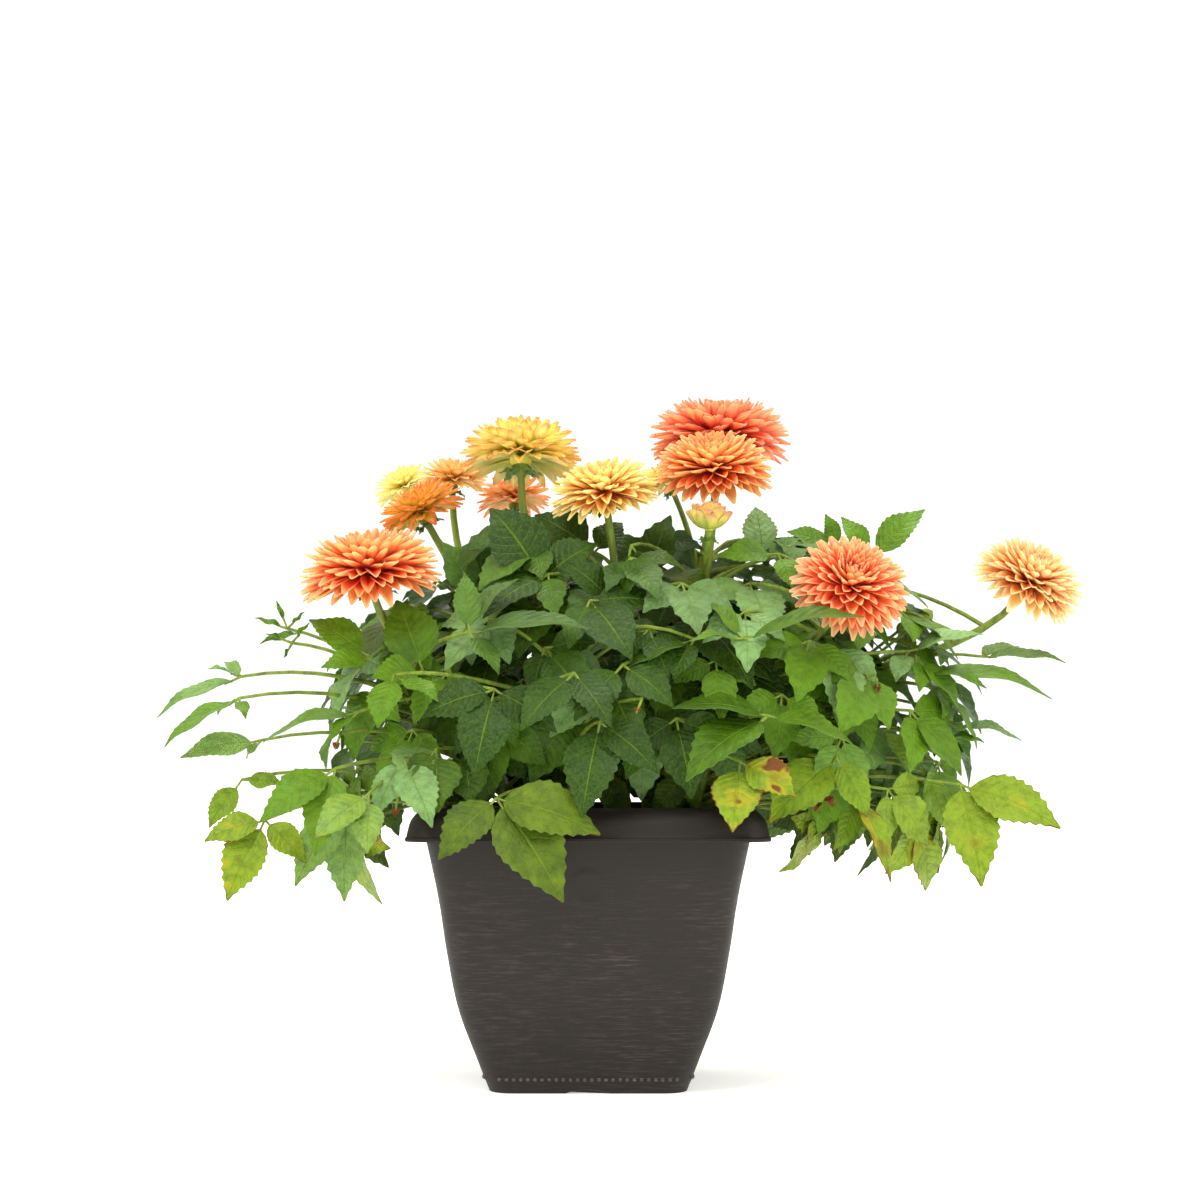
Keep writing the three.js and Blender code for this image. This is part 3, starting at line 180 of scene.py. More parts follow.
# Leaves placed one by one: hub, tips with the end leaflet first, the way the blades look, ratio, and
# for some their age, from 0 for a fresh leaf to 2 for a dried one
FRONT = (0, -0.8, 0.6)
OVER = (0, -0.35, 0.94)
RIGHT = (0.6, -0.6, 0.4)
LEFT = (-0.7, -0.6, 0.3)
LEAVES = [
    ((-206, -76, 250), [(-248, -94, 174), (-208, -76, 160)], FRONT, 0.24, 0.35),
    ((-212, -128, 276), [(-272, -150, 232), (-226, -150, 204)], FRONT, 0.27),
    ((-75, -172, 252), [(-20, -192, 168), (-122, -184, 202), (10, -176, 222)], FRONT, 0.31, 0.4),
    ((-155, -128, 285), [(-128, -168, 228), (-178, -130, 236)], FRONT, BLADE_RATIO),
    ((-75, -150, 335), [(-95, -182, 255), (-140, -152, 305), (-28, -168, 292)], FRONT, 0.33),
    ((10, -150, 315), [(-5, -182, 236), (58, -168, 272)], FRONT, 0.3),
    ((-10, -140, 355), [(-55, -168, 300), (20, -165, 303)], FRONT, BLADE_RATIO),
    ((30, -145, 368), [(-10, -172, 318), (72, -168, 330)], FRONT, 0.34),
    ((90, -130, 385), [(40, -150, 355), (78, -160, 345)], OVER, 0.36),
    ((150, -150, 320), [(80, -186, 266), (70, -152, 326), (220, -152, 296)], OVER, 0.33),
    ((125, -166, 285), [(115, -192, 220), (168, -178, 248)], FRONT, 0.4, 1.0),
    ((210, -110, 285), [(150, -142, 230), (236, -112, 235)], FRONT, 0.3, 0.6),
    ((225, -100, 256), [(255, -112, 180)], RIGHT, 0.2, 1.0),
    ((292, -60, 275), [(270, -80, 203), (316, -66, 214), (262, -70, 298)], FRONT, 0.3, 0.5),
    ((322, -60, 262), [(405, -80, 225), (335, -92, 176)], FRONT, BLADE_RATIO, 0.9),
    ((312, -20, 305), [(348, -30, 298), (300, -58, 286)], OVER, BLADE_RATIO),
    ((325, 2, 315), [(386, 0, 300), (345, 32, 322)], OVER, 0.22),
    ((297, -30, 362), [(406, -42, 336), (344, -70, 345)], OVER, 0.2),
    ((352, 20, 376), [(430, 20, 370), (398, 66, 384)], OVER, 0.2),
    ((280, -42, 378), [(345, -48, 392), (266, -70, 350)], OVER, 0.3),
    ((250, -18, 462), [(300, -10, 506), (226, -4, 500)], FRONT, 0.26),
    ((225, 22, 472), [(180, 30, 490), (214, 20, 505)], FRONT, 0.3),
    ((155, -20, 460), [(150, 10, 510), (186, -30, 478)], FRONT, 0.32),
    ((165, -62, 462), [(112, -80, 458), (176, -84, 430)], FRONT, 0.3),
    ((130, -132, 385), [(230, -152, 402), (84, -154, 382), (98, -110, 420)], OVER, 0.2),
    ((-40, -70, 440), [(-86, -58, 502), (8, -72, 470)], FRONT, 0.42),
    ((5, -30, 466), [(-48, -20, 500), (30, -10, 494)], FRONT, 0.4),
    ((20, -92, 420), [(-20, -94, 452), (46, -104, 456)], FRONT, 0.36),
    ((34, -76, 470), [(20, -90, 412), (62, -70, 428)], LEFT, 0.22),
    ((-100, -132, 390), [(0, -152, 392), (-105, -122, 441), (-60, -120, 436), (-74, -154, 354)],
     OVER, 0.26),
    ((-140, -108, 358), [(-165, -86, 420), (-182, -132, 352)], FRONT, 0.4),
    ((-182, -104, 372), [(-240, -96, 404), (-226, -126, 362)], FRONT, 0.3),
    ((-305, -38, 356), [(-376, -50, 320), (-330, -64, 362), (-324, -8, 370)], OVER, 0.2),
    ((-300, -84, 336), [(-362, -92, 294), (-322, -60, 322), (-290, -112, 318)], OVER, 0.22),
    ((-188, -104, 315), [(-282, -104, 298), (-226, -126, 296), (-214, -76, 326)], OVER, 0.22),
    ((-284, -58, 300), [(-352, -70, 285), (-300, -40, 284)], FRONT, 0.22, 0.4),
    ((-300, -62, 266), [(-326, -74, 225), (-264, -64, 262)], FRONT, 0.3, 0.55),
    ((-276, -90, 232), [(-306, -102, 164), (-326, -100, 214), (-240, -100, 196)], FRONT, 0.3, 0.85),
    ((-174, -156, 264), [(-160, -174, 206), (-204, -172, 218)], FRONT, 0.3),
    ((-160, -132, 356), [(-116, -152, 334), (-166, -158, 312)], OVER, 0.34),
]

# Leaves placed by rule, as in the part's source, turn by turn round the plant
GOLDEN_TURN = math.radians(137.508)
RULED_RATIO = (0.29, 0.36)
PAIR_ANGLE = (46, 64)
PAIR_LENGTH = (0.62, 0.8)
PAIR_SAG = 0.12

# Leaves that hang over the rim at the back: ranges of reach, height, length and drop
SKIRT_COUNT = 10
SKIRT = ((188, 245), (272, 300), (72, 90), (36, 62))
SKIRT_SEEDS = 1000
SKIRT_WIDTH = 1.2
SKIRT_CENTRE_X = 14
SKIRT_SWING = 0.5
SKIRT_LOOK = (0.5, 0.86)
FRONT_KEPT_FREE = -72
SIDE_KEPT_FREE_X = 190
SIDE_KEPT_FREE_Y = 20

# Leaves that close the crown, on shells of a dome: count, size of the shell, lowest and highest
# elevation, start of the turns, first seed and range of length
DOME = [
    (36, 1.0, (-12, 72), 0, 2000, (74, 92)),
    (26, 0.8, (-16, 76), 2, 3000, (74, 92)),
]
DOME_MIDDLE = (50, 14, 292)
DOME_AXES = (270, 142, 195)
DOME_FULLNESS = 0.8
DOME_SPREAD = (0.92, 1.04)
DOME_LOOK_UP = 0.25
DOME_HANG_OUT = 0.9
DOME_HANG_LEAST = 0.2
DOME_HANG_MOST = 0.8
DOME_SWING = 1.5
DOME_DIP = 6

# A leaf of the dome doesn't stand between a head and a viewer in front
VIEWER = (10, -2200, 288)
HEAD_MIDDLE = 0.3
CLEAR_SIGHT = 6

# Shells that aren't in the part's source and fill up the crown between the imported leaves. Their leaves
# keep clear of the heads and of the planter, inside which they may hang lower than over its rim.
ADDED_SEEDS = 9000
ADDED_DOME = [
    (120, 1.0, (-16, 84), 1, ADDED_SEEDS, (54, 76)),
    (96, 0.86, (-18, 80), 3, 10000, (54, 74)),
    (60, 0.7, (-16, 76), 4, 11000, (50, 70)),
    (90, 0.48, (-24, 12), 5, 13000, (38, 54)),
    (70, 0.64, (-26, -4), 6, 14000, (44, 62)),
]
HEAD_HEART = 0.2
OVER_RIM_HALF = LIP_HALF + 10
OVER_RIM_LOWEST = POT_HEIGHT + 4
OVER_SOIL_HALF = RIM_TOP_HALF - 16
OVER_SOIL_LOWEST = SOIL_TOP + 8

# Leaves placed one by one that aren't in the part's source: two of a narrow shoot, two at the top, six
# dried bits and three that cover the stems over the left of the rim
ADDED_LEAF_SEEDS = 12000
ADDED_LEAVES = [
    ((-267, -20, 399), [(-277, -22, 424), (-295, -26, 408), (-252, -18, 414), (-290, -30, 385)],
     FRONT, 0.13, -0.2),
    ((-262, -26, 386), [(-284, -34, 394), (-246, -30, 404), (-268, -36, 372)], FRONT, 0.13, 0),
    ((52, 22, 446), [(74, 24, 504), (22, 28, 490)], FRONT, 0.34, 0),
    ((-100, -20, 425), [(-129, -26, 475), (-90, -4, 492)], FRONT, 0.34, 0),
    ((-91, -146, 331), [(-94, -152, 319)], FRONT, 0.5, 2),
    ((45, -160, 334), [(40, -168, 322)], FRONT, 0.55, 2),
    ((246, -86, 356), [(248, -94, 341)], FRONT, 0.4, 2),
    ((-158, -146, 252), [(-160, -152, 236)], FRONT, 0.4, 2),
    ((-210, -106, 306), [(-214, -114, 292)], FRONT, 0.45, 2),
    ((196, -120, 258), [(190, -130, 240), (206, -126, 244)], FRONT, 0.35, 2),
    ((-128, -122, 292), [(-124, -156, 240), (-148, -140, 262)], FRONT, 0.4, 0.2),
    ((-104, -112, 290), [(-98, -144, 246), (-84, -128, 268)], FRONT, 0.4, 0.1),
    ((-142, -100, 300), [(-150, -142, 262)], FRONT, 0.42, 0.3),
]

# Look of a leaf by the place of its hub: older low down, younger high up, and lighter towards the
# sides of the crown, which is painted light, as the middle of the crown is in shade
OLD_BELOW = 300
OLD_FADE = 60
OLD_SHARE = (0.4, 1.0)
YOUNG_ABOVE = 380
YOUNG_FADE = 80
YOUNG_SHARE = 0.3
CROWN_MIDDLE = 20
PAINTED_LIGHT_FROM = 90
PAINTED_LIGHT_FADE = 110
FRESH_BY_DRAW = 0.6
# Share by which the leaves on the sides of the crown are lifted towards the fresh green: painted light
LIGHT_PAINTED_BY_SIDE = 0.7
LOOK_SEED = 5

# Stations and sides of the tubes of stems, side stalks, leaf stalks, their necks and green buds
PETIOLE_STEPS = 7
STALK_STEPS = 14
STEM_STEPS = 12
BUD_STEPS = 9
STEM_SIDES = 10
BRANCH_SIDES = 8
PETIOLE_SIDES = 6
NECK_SIDES = 5
END_NECK_INSIDE = 7
SIDE_NECK_INSIDE = 6
STEM_TIP_RADIUS = 1.6
SWELL = 0.05
SWELL_TURNS = 17
CURVE_TO_CHORD = 1.05

# Edge and wave of a leaflet, by its own draws
LEAFLET_SEEDS = 8
WAVE_LEAST = 1
WAVE_MORE = 2.4
WAVE_TURNS = 9
TEETH_LEAST = 0.026
TEETH_MORE = 0.026
TEETH_LEAN = 0.3
TWIST = 0.16
AGE_SPREAD = 0.16
FRESH_SPREAD = 0.4
AT_EDGE = 0.9

# Stations of a cup under a head: distance before the seat and share of the cup's radius
CUP = ((10, 0.5), (7.5, 0.62), (5, 0.78), (2.5, 0.94), (0.6, 1.0), (0, 0.94))

# Small green leaves under a head: how many, where they leave the cup, and how far they reach and drop
BRACTS = 7
BRACT_BACK = 6
BRACT_OUT = 0.7
BRACT_REACH = 0.26
BRACT_DROPS = (2, 5)
BRACT_SEED = 7
BRACT_SEED_STEP = 31
BRACT_RATIO = 0.3
BRACT_LOOK = (0.3, 0.8, 0)

# Grids of a leaflet of a packed leaf, of one of an added leaf and of a petal: columns across, steps along
LEAFLET_GRID = (2, 20)
CROWN_GRID = (2, 12)
PETAL_GRID = (2, 6)


def colour(text):
    """Linear red, green and blue of a colour written as in a paint chart."""
    parts = [int(text[k:k + 2], 16) / 255 for k in (1, 3, 5)]
    return tuple(p / 12.92 if p <= 0.04045 else ((p + 0.055) / 1.055) ** 2.4 for p in parts)


def paint(name, description, text):
    """A setting for a colour."""
    return FloatVectorProperty(name=name, description=description, subtype="COLOR", default=colour(text))


def measure(name, description, millimetres):
    """A setting for a length."""
    return FloatProperty(name=name, description=description, unit="LENGTH", default=millimetres * MM)


def amount(name, description, value):
    """A setting for a share or a strength."""
    return FloatProperty(name=name, description=description, default=value)


class PlanterSettings(bpy.types.PropertyGroup):
    """Sizes and colours of the moulded planter."""
    bead_height: measure("Bead row height", "Height of the row of beads above the ground", 12.4)
    bead_radius: measure("Bead radius", "Radius of one bead of the row round the foot", 1.8)
    beads_in_row: IntProperty(
        name="Beads in a row", description="Beads on each side of the planter", default=26)
    relief: measure("Relief", "Height of the swags moulded on the sides", 0.9)
    dark: paint("Plastic", "Colour of the plastic", "#1B1510")
    light: paint("Streaks", "Colour of the brushed streaks", "#48403A")
    # The bead colour is a painted highlight: the beads are lighter, as if lit on their tops
    worn: paint("Worn plastic", "Colour of the beads, where the plastic is worn", "#8A8178")


class SoilSettings(bpy.types.PropertyGroup):
    """Look of the potting mix."""
    crumbs: IntProperty(
        name="Crumbs", description="Loose crumbs of bark and peat on the soil", default=260)
    dark: paint("Peat", "Colour of the moist peat", "#33241A")
    light: paint("Bark", "Colour of the dry bark", "#6B4C33")


class FoliageSettings(bpy.types.PropertyGroup):
    """Thickness and colours of leaves and stalks."""
    blade_thickness: measure("Blade thickness", "Thickness of a leaf blade", 0.5)
    midrib: measure("Midrib", "How far the midrib stands out below a blade", 1.0)
    deep: paint("Deep green", "Colour of the shaded leaves", "#1F3706")
    # The fresh green is also the colour towards which painted light lifts the leaves on the sides of the
    # crown
    fresh: paint("Fresh green", "Colour of the young leaves", "#5A8214")
    old: paint("Yellow green", "Colour of the old leaves near the rim", "#809820")
    # The grey green is painted sheen: some leaves are greyed as if they reflected the sky. It also greys
    # the backs of all leaves
    grey: paint("Grey green", "Colour of the leaves with a grey bloom", "#84AA6A")
    yellow: paint("Yellow patch", "Colour round the dry spots", "#A89A1A")
    dry: paint("Dry edge", "Colour of dry edges and spots", "#6B3C10")
    stalk: paint("Stalks", "Colour of the stalks", "#7F9632")


class BloomSettings(bpy.types.PropertyGroup):
    """Form of the petals."""
    petal_thickness: measure("Petal thickness", "Thickness of a petal", 0.6)
    petal_width: amount("Petal width", "Half width of a petal as a share of its length", 0.106)
    petal_cup: amount("Petal cup", "How far the edges of a petal curl up", 0.55)


class StageSettings(bpy.types.PropertyGroup):
    """Camera, floor and lights."""
    camera_x: measure("Camera X", "Camera's place to the right", VIEWER[0])
    camera_y: measure("Camera Y", "Camera's place towards the back", VIEWER[1])
    camera_z: measure("Camera Z", "Camera's height", VIEWER[2])
    camera_pitch: FloatProperty(
        name="Pitch", description="How far the camera looks up", default=math.radians(3.58),
        subtype="ANGLE")
    lens: amount("Lens", "Focal length for a 36 mm wide sensor", 73.9)
    floor: FloatVectorProperty(
        name="Floor", description="Colour of the floor", subtype="COLOR", default=(0.9, 0.9, 0.9))
    floor_glow: amount("Floor glow", "Light that the lit floor gives", 0.4)
    backdrop: amount("Backdrop", "How bright the backdrop is", 1.15)
    light_below: amount("Light from below", "Strength of the light from the sides and below", 0.62)
    light_above: amount("Light from above", "Strength of the light from overhead", 1.8)
    light_tint: FloatVectorProperty(
        name="Light", description="Colour of the soft light", subtype="COLOR", default=(1, 0.98, 0.88))


# Numbers and curves


def draws(seed):
    """Gives numbers between 0 and 1 that are the same in every run."""
    state = seed % 2**32
    while True:
        state = (state * 1664525 + 1013904223) % 2**32
        yield state / 2**32


def between(limits, share):
    """The value at a share of the way from the first limit to the second."""
    return limits[0] + (limits[1] - limits[0]) * share


def smooth(share):
    """A share from 0 to 1 that starts and ends gently."""
    share = min(1.0, max(0.0, share))
    return share * share * (3 - 2 * share)


def table_value(table, at):
    """The value that a table of (place, value) rows has at one place, on straight lines between."""
    for (low, first), (high, second) in zip(table, table[1:]):
        if at <= high:
            return first + (second - first) * max(0.0, at - low) / (high - low)
    return table[-1][1]


def on_curve(points, share):
    """Point and direction of the Bezier curve with these control points, at a share of it."""
    while len(points) > 2:
        points = [a.lerp(b, share) for a, b in zip(points, points[1:])]
    return points[0].lerp(points[1], share), (points[1] - points[0]).normalized()


def across(first, second):
    """The direction square to both."""
    return first.cross(second).normalized()


def rising_curve(start, end, way, rise, arrival):
    """Control points of a stem that starts upright and arrives along a given way."""
    reach = (end - start).length
    return [start, start + UP * rise * reach, end - way * arrival * reach, end]


# Mesh helpers

NEARLY_ALONG = 0.9
STALK_MATERIAL = 1


def shell_template(grid):
    """A closed thin unit sheet, a column for each step across. Its face is at height 0, its back at
    -1, and the layer named under is 0 on the face and 1 on the back."""
    bm = bmesh.new()
    bm.loops.layers.uv.new("UVMap")
    under = bm.verts.layers.float.new("under")
    bmesh.ops.create_grid(bm, x_segments=grid[0], y_segments=grid[1], size=0.5, calc_uvs=True)
    bmesh.ops.solidify(bm, geom=bm.faces[:], thickness=1)
    for vert in bm.verts:
        vert[under] = -vert.co.z
    mesh = bpy.data.meshes.new("template")
    bm.to_mesh(mesh)
    bm.free()
    return mesh


def new_foliage():
    """An empty piece with the layers that leaflets and petals carry."""
    bm = bmesh.new()
    bm.loops.layers.uv.new("UVMap")
    bm.verts.layers.float.new("under")
    bm.verts.layers.float_color.new("look")
    return bm


def append_template(bm, template):
    """Adds a copy of a template to a piece in the making, and gives its vertices."""
    verts_before = len(bm.verts)
    bm.from_mesh(template)
    return bm.verts[verts_before:]


def ring_edges(verts):
    """The edges of a new circle."""
    return list({edge for vert in verts for edge in vert.link_edges})


def extrude_ring(bm, edges):
    """Pulls a new ring out of a ring of edges, and gives its corners, its edges and the faces between."""
    made = bmesh.ops.extrude_edge_only(bm, edges=edges)["geom"]
    verts = [item for item in made if isinstance(item, bmesh.types.BMVert)]
    faces = [item for item in made if isinstance(item, bmesh.types.BMFace)]
    new = set(verts)
    edges = [item for item in made if isinstance(item, bmesh.types.BMEdge) and new.issuperset(item.verts)]
    return verts, edges, faces


def ring_matrix(point, along, side, radius):
    """Turns a unit circle into one round a point, square to a direction."""
    second = along.cross(side)
    turned = Matrix((side, second, along)).transposed().to_4x4()
    return Matrix.Translation(point) @ turned @ Matrix.Diagonal((radius, radius, radius, 1))


def add_tube(bm, stations, sides):
    """A closed tube of stalk through stations of point, direction and radius."""
    point, along, radius = stations[0]
    side = across(along, AHEAD if abs(along.x) < NEARLY_ALONG else UP)
    matrix = ring_matrix(point, along, side, radius)
    start = bmesh.ops.create_circle(bm, cap_ends=True, segments=sides, radius=1, matrix=matrix)["verts"]
    edges = ring_edges(start)
    faces = {face for vert in start for face in vert.link_faces}
    for point, along, radius in stations[1:]:
        side = (side - along * side.dot(along)).normalized()
        following = ring_matrix(point, along, side, radius)
        verts, edges, made = extrude_ring(bm, edges)
        faces.update(made)
        bmesh.ops.transform(bm, matrix=following @ matrix.inverted(), verts=verts)
        matrix = following
    faces.update(bmesh.ops.edgeloop_fill(bm, edges=edges)["faces"])
    bmesh.ops.recalc_face_normals(bm, faces=list(faces))
    for face in faces:
        face.material_index = STALK_MATERIAL


def make_piece(bm, name, materials, replaced, crease=50):
    """Turns a bmesh in millimetres into an object in metres that rides on the plant's body."""
    bmesh.ops.scale(bm, vec=(MM, MM, MM), verts=bm.verts)
    mesh = bpy.data.meshes.new(name)
    bm.to_mesh(mesh)
    bm.free()
    for material in materials:
        mesh.materials.append(material)
    mesh.shade_smooth()
    mesh.set_sharp_from_angle(angle=math.radians(crease))
    piece = bpy.data.objects.new(name, mesh)
    bpy.context.scene.collection.objects.link(piece)
    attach(piece, "root")
    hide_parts(*replaced)


# Material helpers


def new_material(name):
    """An empty node material, its tree and its surface shader."""
    material = bpy.data.materials.new(name)
    material.use_nodes = True
    tree = material.node_tree
    return material, tree, tree.nodes["Principled BSDF"]


def set_inputs(tree, node, inputs):
    """Sets a node's inputs. An input is another node's output, which is linked, or a plain value."""
    for key, value in inputs.items():
        if isinstance(value, bpy.types.NodeSocket):
            tree.links.new(value, node.inputs[key])
        else:
            node.inputs[key].default_value = value


def add_node(tree, kind, inputs=None, **settings):
    """Adds a node with its settings and inputs."""
    node = tree.nodes.new(kind)
    for name, value in settings.items():
        setattr(node, name, value)
    set_inputs(tree, node, inputs or {})
    return node


def maths(tree, operation, first, second=0.0, third=0.0):
    """The result of one sum."""
    node = add_node(tree, "ShaderNodeMath", {0: first, 1: second, 2: third}, operation=operation)
    return node.outputs[0]


def added(tree, first, second, share=1.0):
    """The first value with a share of the second."""
    part = second if share == 1.0 else maths(tree, "MULTIPLY", second, share)
    return maths(tree, "ADD", first, part)


def ramp(tree, factor, low, high, start=0.0, end=1.0):
    """A factor spread from one value to another between two limits."""
    inputs = {"Value": factor, "From Min": low, "From Max": high, "To Min": start, "To Max": end}
    node = add_node(tree, "ShaderNodeMapRange", inputs, interpolation_type="SMOOTHSTEP")
    return node.outputs["Result"]


def blend(tree, factor, first, second):
    """Two colours mixed by a factor. A colour is a triple or another node's output."""
    inputs = {0: factor}
    for index, value in ((6, first), (7, second)):
        inputs[index] = value if isinstance(value, bpy.types.NodeSocket) else (*value[:3], 1)
    return add_node(tree, "ShaderNodeMix", inputs, data_type="RGBA").outputs[2]


def object_noise(tree, scale, detail=3.0, stretch=(1, 1, 1), roughness=0.5):
    """Noise in the object's own space, stretched along its axes."""
    coordinates = add_node(tree, "ShaderNodeTexCoord").outputs["Object"]
    placed = add_node(tree, "ShaderNodeMapping", {"Vector": coordinates, "Scale": stretch})
    inputs = {"Vector": placed.outputs[0], "Scale": scale, "Detail": detail, "Roughness": roughness}
    return add_node(tree, "ShaderNodeTexNoise", inputs).outputs["Fac"]


def blade_inputs(tree):
    """What the material of a leaflet or petal reads: places across and along it, distance from its
    rib, face or back, and the three values of its look."""
    uv = add_node(tree, "ShaderNodeSeparateXYZ", {0: add_node(tree, "ShaderNodeUVMap").outputs[0]})
    attribute = add_node(tree, "ShaderNodeAttribute", attribute_name="look")
    look = add_node(tree, "ShaderNodeSeparateColor", {0: attribute.outputs["Color"]})
    under = add_node(tree, "ShaderNodeAttribute", attribute_name="under").outputs["Fac"]
    side = maths(tree, "ABSOLUTE", maths(tree, "MULTIPLY_ADD", uv.outputs[0], 2.0, -1.0))
    return SimpleNamespace(across=uv.outputs[0], share=uv.outputs[1], side=side, under=under,
                           look=[look.outputs[index] for index in range(3)])


def add_bump(tree, shader, height, distance, strength=1.0):
    """Small relief from a height."""
    inputs = {"Height": height, "Distance": distance, "Strength": strength}
    set_inputs(tree, shader, {"Normal": add_node(tree, "ShaderNodeBump", inputs).outputs[0]})


# Planter

# Steps of a ring along a side and round a corner, and rings up the outside
SIDE_STEPS = 72
CORNER_STEPS = 10
RING_STEPS = 4 * (SIDE_STEPS + CORNER_STEPS)
FIRST_RING = 2.0
RING_RISE = 2.4
INSIDE_RINGS = (LIP_BOTTOM, 200, 165, 121, 72, 25, 5)

# Swags moulded on each side: two garlands that sag beside a medallion and a ring, and a knot at each end
SWAG_REACH = 96
SWAG_LOWEST = 60
SWAG_HIGHEST = 200
GARLAND_SPAN = 46
GARLAND_LOW = 112
GARLAND_SAG = 44
GARLAND_HALF = 9
GARLAND_THINNER = 4
GARLAND_LEAVES = 0.55
HOOP_HEIGHT = 176
HOOP_RADIUS = 13
HOOP_HALF = 4
MEDALLION_HEIGHT = 132
MEDALLION_HALF = (9, 15)
KNOT = (92, 158)
KNOT_RADIUS = 9

# Painted shade: from the first of these heights to the second the plastic is darkened, up to this
# share and by these factors on its colour, as in the shadow of the leaves over the rim
PAINTED_SHADE_HEIGHTS = (130, 225)
PAINTED_SHADE_SHARE = 0.75
PAINTED_SHADE_SCALE = (0.62, 0.5, 0.35)
# Material index of the beads, whose lighter colours paint their highlights
BEAD_HIGHLIGHT_MATERIAL = 1


def outside_half(height):
    """Half width of the planter's outside at a height, on a smooth line through the given points."""
    rows = [(z, half) for half, z in BODY_OUTSIDE]
    rows = [(2 * rows[0][0] - rows[1][0], 2 * rows[0][1] - rows[1][1]), *rows,
            (2 * rows[-1][0] - rows[-2][0], 2 * rows[-1][1] - rows[-2][1])]
    for before, low, high, after in zip(rows, rows[1:], rows[2:], rows[3:]):
        if height <= high[0] or high is rows[-2]:
            span = high[0] - low[0]
            share = min(1.0, max(0.0, (height - low[0]) / span))
            leaving = (high[1] - before[1]) / (high[0] - before[0]) * span
            arriving = (after[1] - low[1]) / (after[0] - low[0]) * span
            square, cube = share**2, share**3
            return (low[1] * (2 * cube - 3 * square + 1) + leaving * (cube - 2 * square + share)
                    + high[1] * (3 * square - 2 * cube) + arriving * (cube - square))
    return rows[-2][1]


def station_point(station, half, height, radius):
    """Point, outward direction and distance from the side's middle of a place on a rounded square."""
    side, step = divmod(station, SIDE_STEPS + CORNER_STEPS)
    straight = half - radius
    if step <= SIDE_STEPS:
        along = straight * (2 * step / SIDE_STEPS - 1)
        point, out = Vector((along, -half, height)), Vector((0, -1, 0))
    else:
        angle = (step - SIDE_STEPS) / CORNER_STEPS * math.pi / 2
        out = Vector((math.sin(angle), -math.cos(angle), 0))
        point = Vector((straight, -straight, height)) + out * radius
        along = half
    turn = Matrix.Rotation(side * math.pi / 2, 4, "Z")
    return turn @ point, turn @ out, along


def swag_relief(along, height):
    """Share of the full relief of the moulded swags at a place on a side."""
    if abs(along) > SWAG_REACH or not SWAG_LOWEST < height < SWAG_HIGHEST:
        return 0.0
    span = abs(abs(along) - GARLAND_SPAN) / GARLAND_SPAN
    middle = GARLAND_LOW + GARLAND_SAG * span * span
    half = GARLAND_HALF - GARLAND_THINNER * min(1.0, span)
    garland = smooth(1 - abs(height - middle) / half)
    leaves = 0.6 + 0.4 * math.sin(abs(along) * GARLAND_LEAVES)
    hoop = smooth(1 - abs(math.hypot(along, height - HOOP_HEIGHT) - HOOP_RADIUS) / HOOP_HALF)
    wide, high = MEDALLION_HALF
    medallion = smooth(1 - (math.hypot(along / wide, (height - MEDALLION_HEIGHT) / high)) ** 2)
    knot = smooth(1 - math.hypot(abs(along) - KNOT[0], height - KNOT[1]) / KNOT_RADIUS)
    return max(garland * leaves, hoop, medallion, knot)


def planter_profile():
    """Half width, height and corner radius of each ring, from the foot up the outside, over the lip
    and down the inside to the floor."""
    rows = [(FOOT_HALF, 0, FOOT_CORNER), (FOOT_HALF + 1, FOOT_EDGE, FOOT_CORNER + 1)]
    height = FIRST_RING
    while height < LIP_BOTTOM:
        rows.append((outside_half(height), height, CORNER_RADIUS))
        height += RING_RISE
    body = outside_half(LIP_BOTTOM)
    lip_inside = LIP_HALF - LIP_WALL
    lip = [
        (body, LIP_BOTTOM),
        (body + 1, LIP_SHOULDER - 4),
        (LIP_SHOULDER_HALF - LIP_WALL, LIP_SHOULDER - LIP_WALL),
        (lip_inside, LIP_BOTTOM + 0.4),
        (lip_inside + 0.5, LIP_BOTTOM),
        (LIP_HALF - 0.3, LIP_BOTTOM),
        (LIP_HALF + 0.4, LIP_BOTTOM + 1.0),
        (LIP_HALF + 0.2, LIP_BOTTOM + 3.0),
        (LIP_HALF - 0.9, LIP_BOTTOM + 4.0),
        (LIP_HALF - 1.6, LIP_BOTTOM + 8),
        (LIP_HALF - 3.0, LIP_SHOULDER - 4),
        (LIP_SHOULDER_HALF, LIP_SHOULDER),
        (LIP_SHOULDER_HALF - 2.6, LIP_SHOULDER + 3.6),
        (LIP_SHOULDER_HALF - 6.4, POT_HEIGHT - 2.4),
        (RIM_TOP_HALF, POT_HEIGHT - 0.2),
    ]
    rows += [(half, height, CORNER_RADIUS) for half, height in lip]
    rim_inside = RIM_TOP_HALF - RIM_WIDTH
    corner_inside = CORNER_RADIUS - WALL
    rows += [
        (RIM_TOP_HALF - 2, POT_HEIGHT, CORNER_RADIUS - 1),
        (rim_inside + 0.6, POT_HEIGHT - 0.2, corner_inside),
        (rim_inside, POT_HEIGHT - 0.9, corner_inside),
    ]
    return rows + [(outside_half(height) - WALL, height, corner_inside) for height in INSIDE_RINGS]


def foot_arch(along, height):
    """How far the foot's edge is lifted by the low arch in the middle of each side."""
    share = max(0.0, 1 - (2 * along / ARCH_WIDTH) ** 2)
    return ARCH_HEIGHT * share * max(0.0, 1 - height / ARCH_FADE)


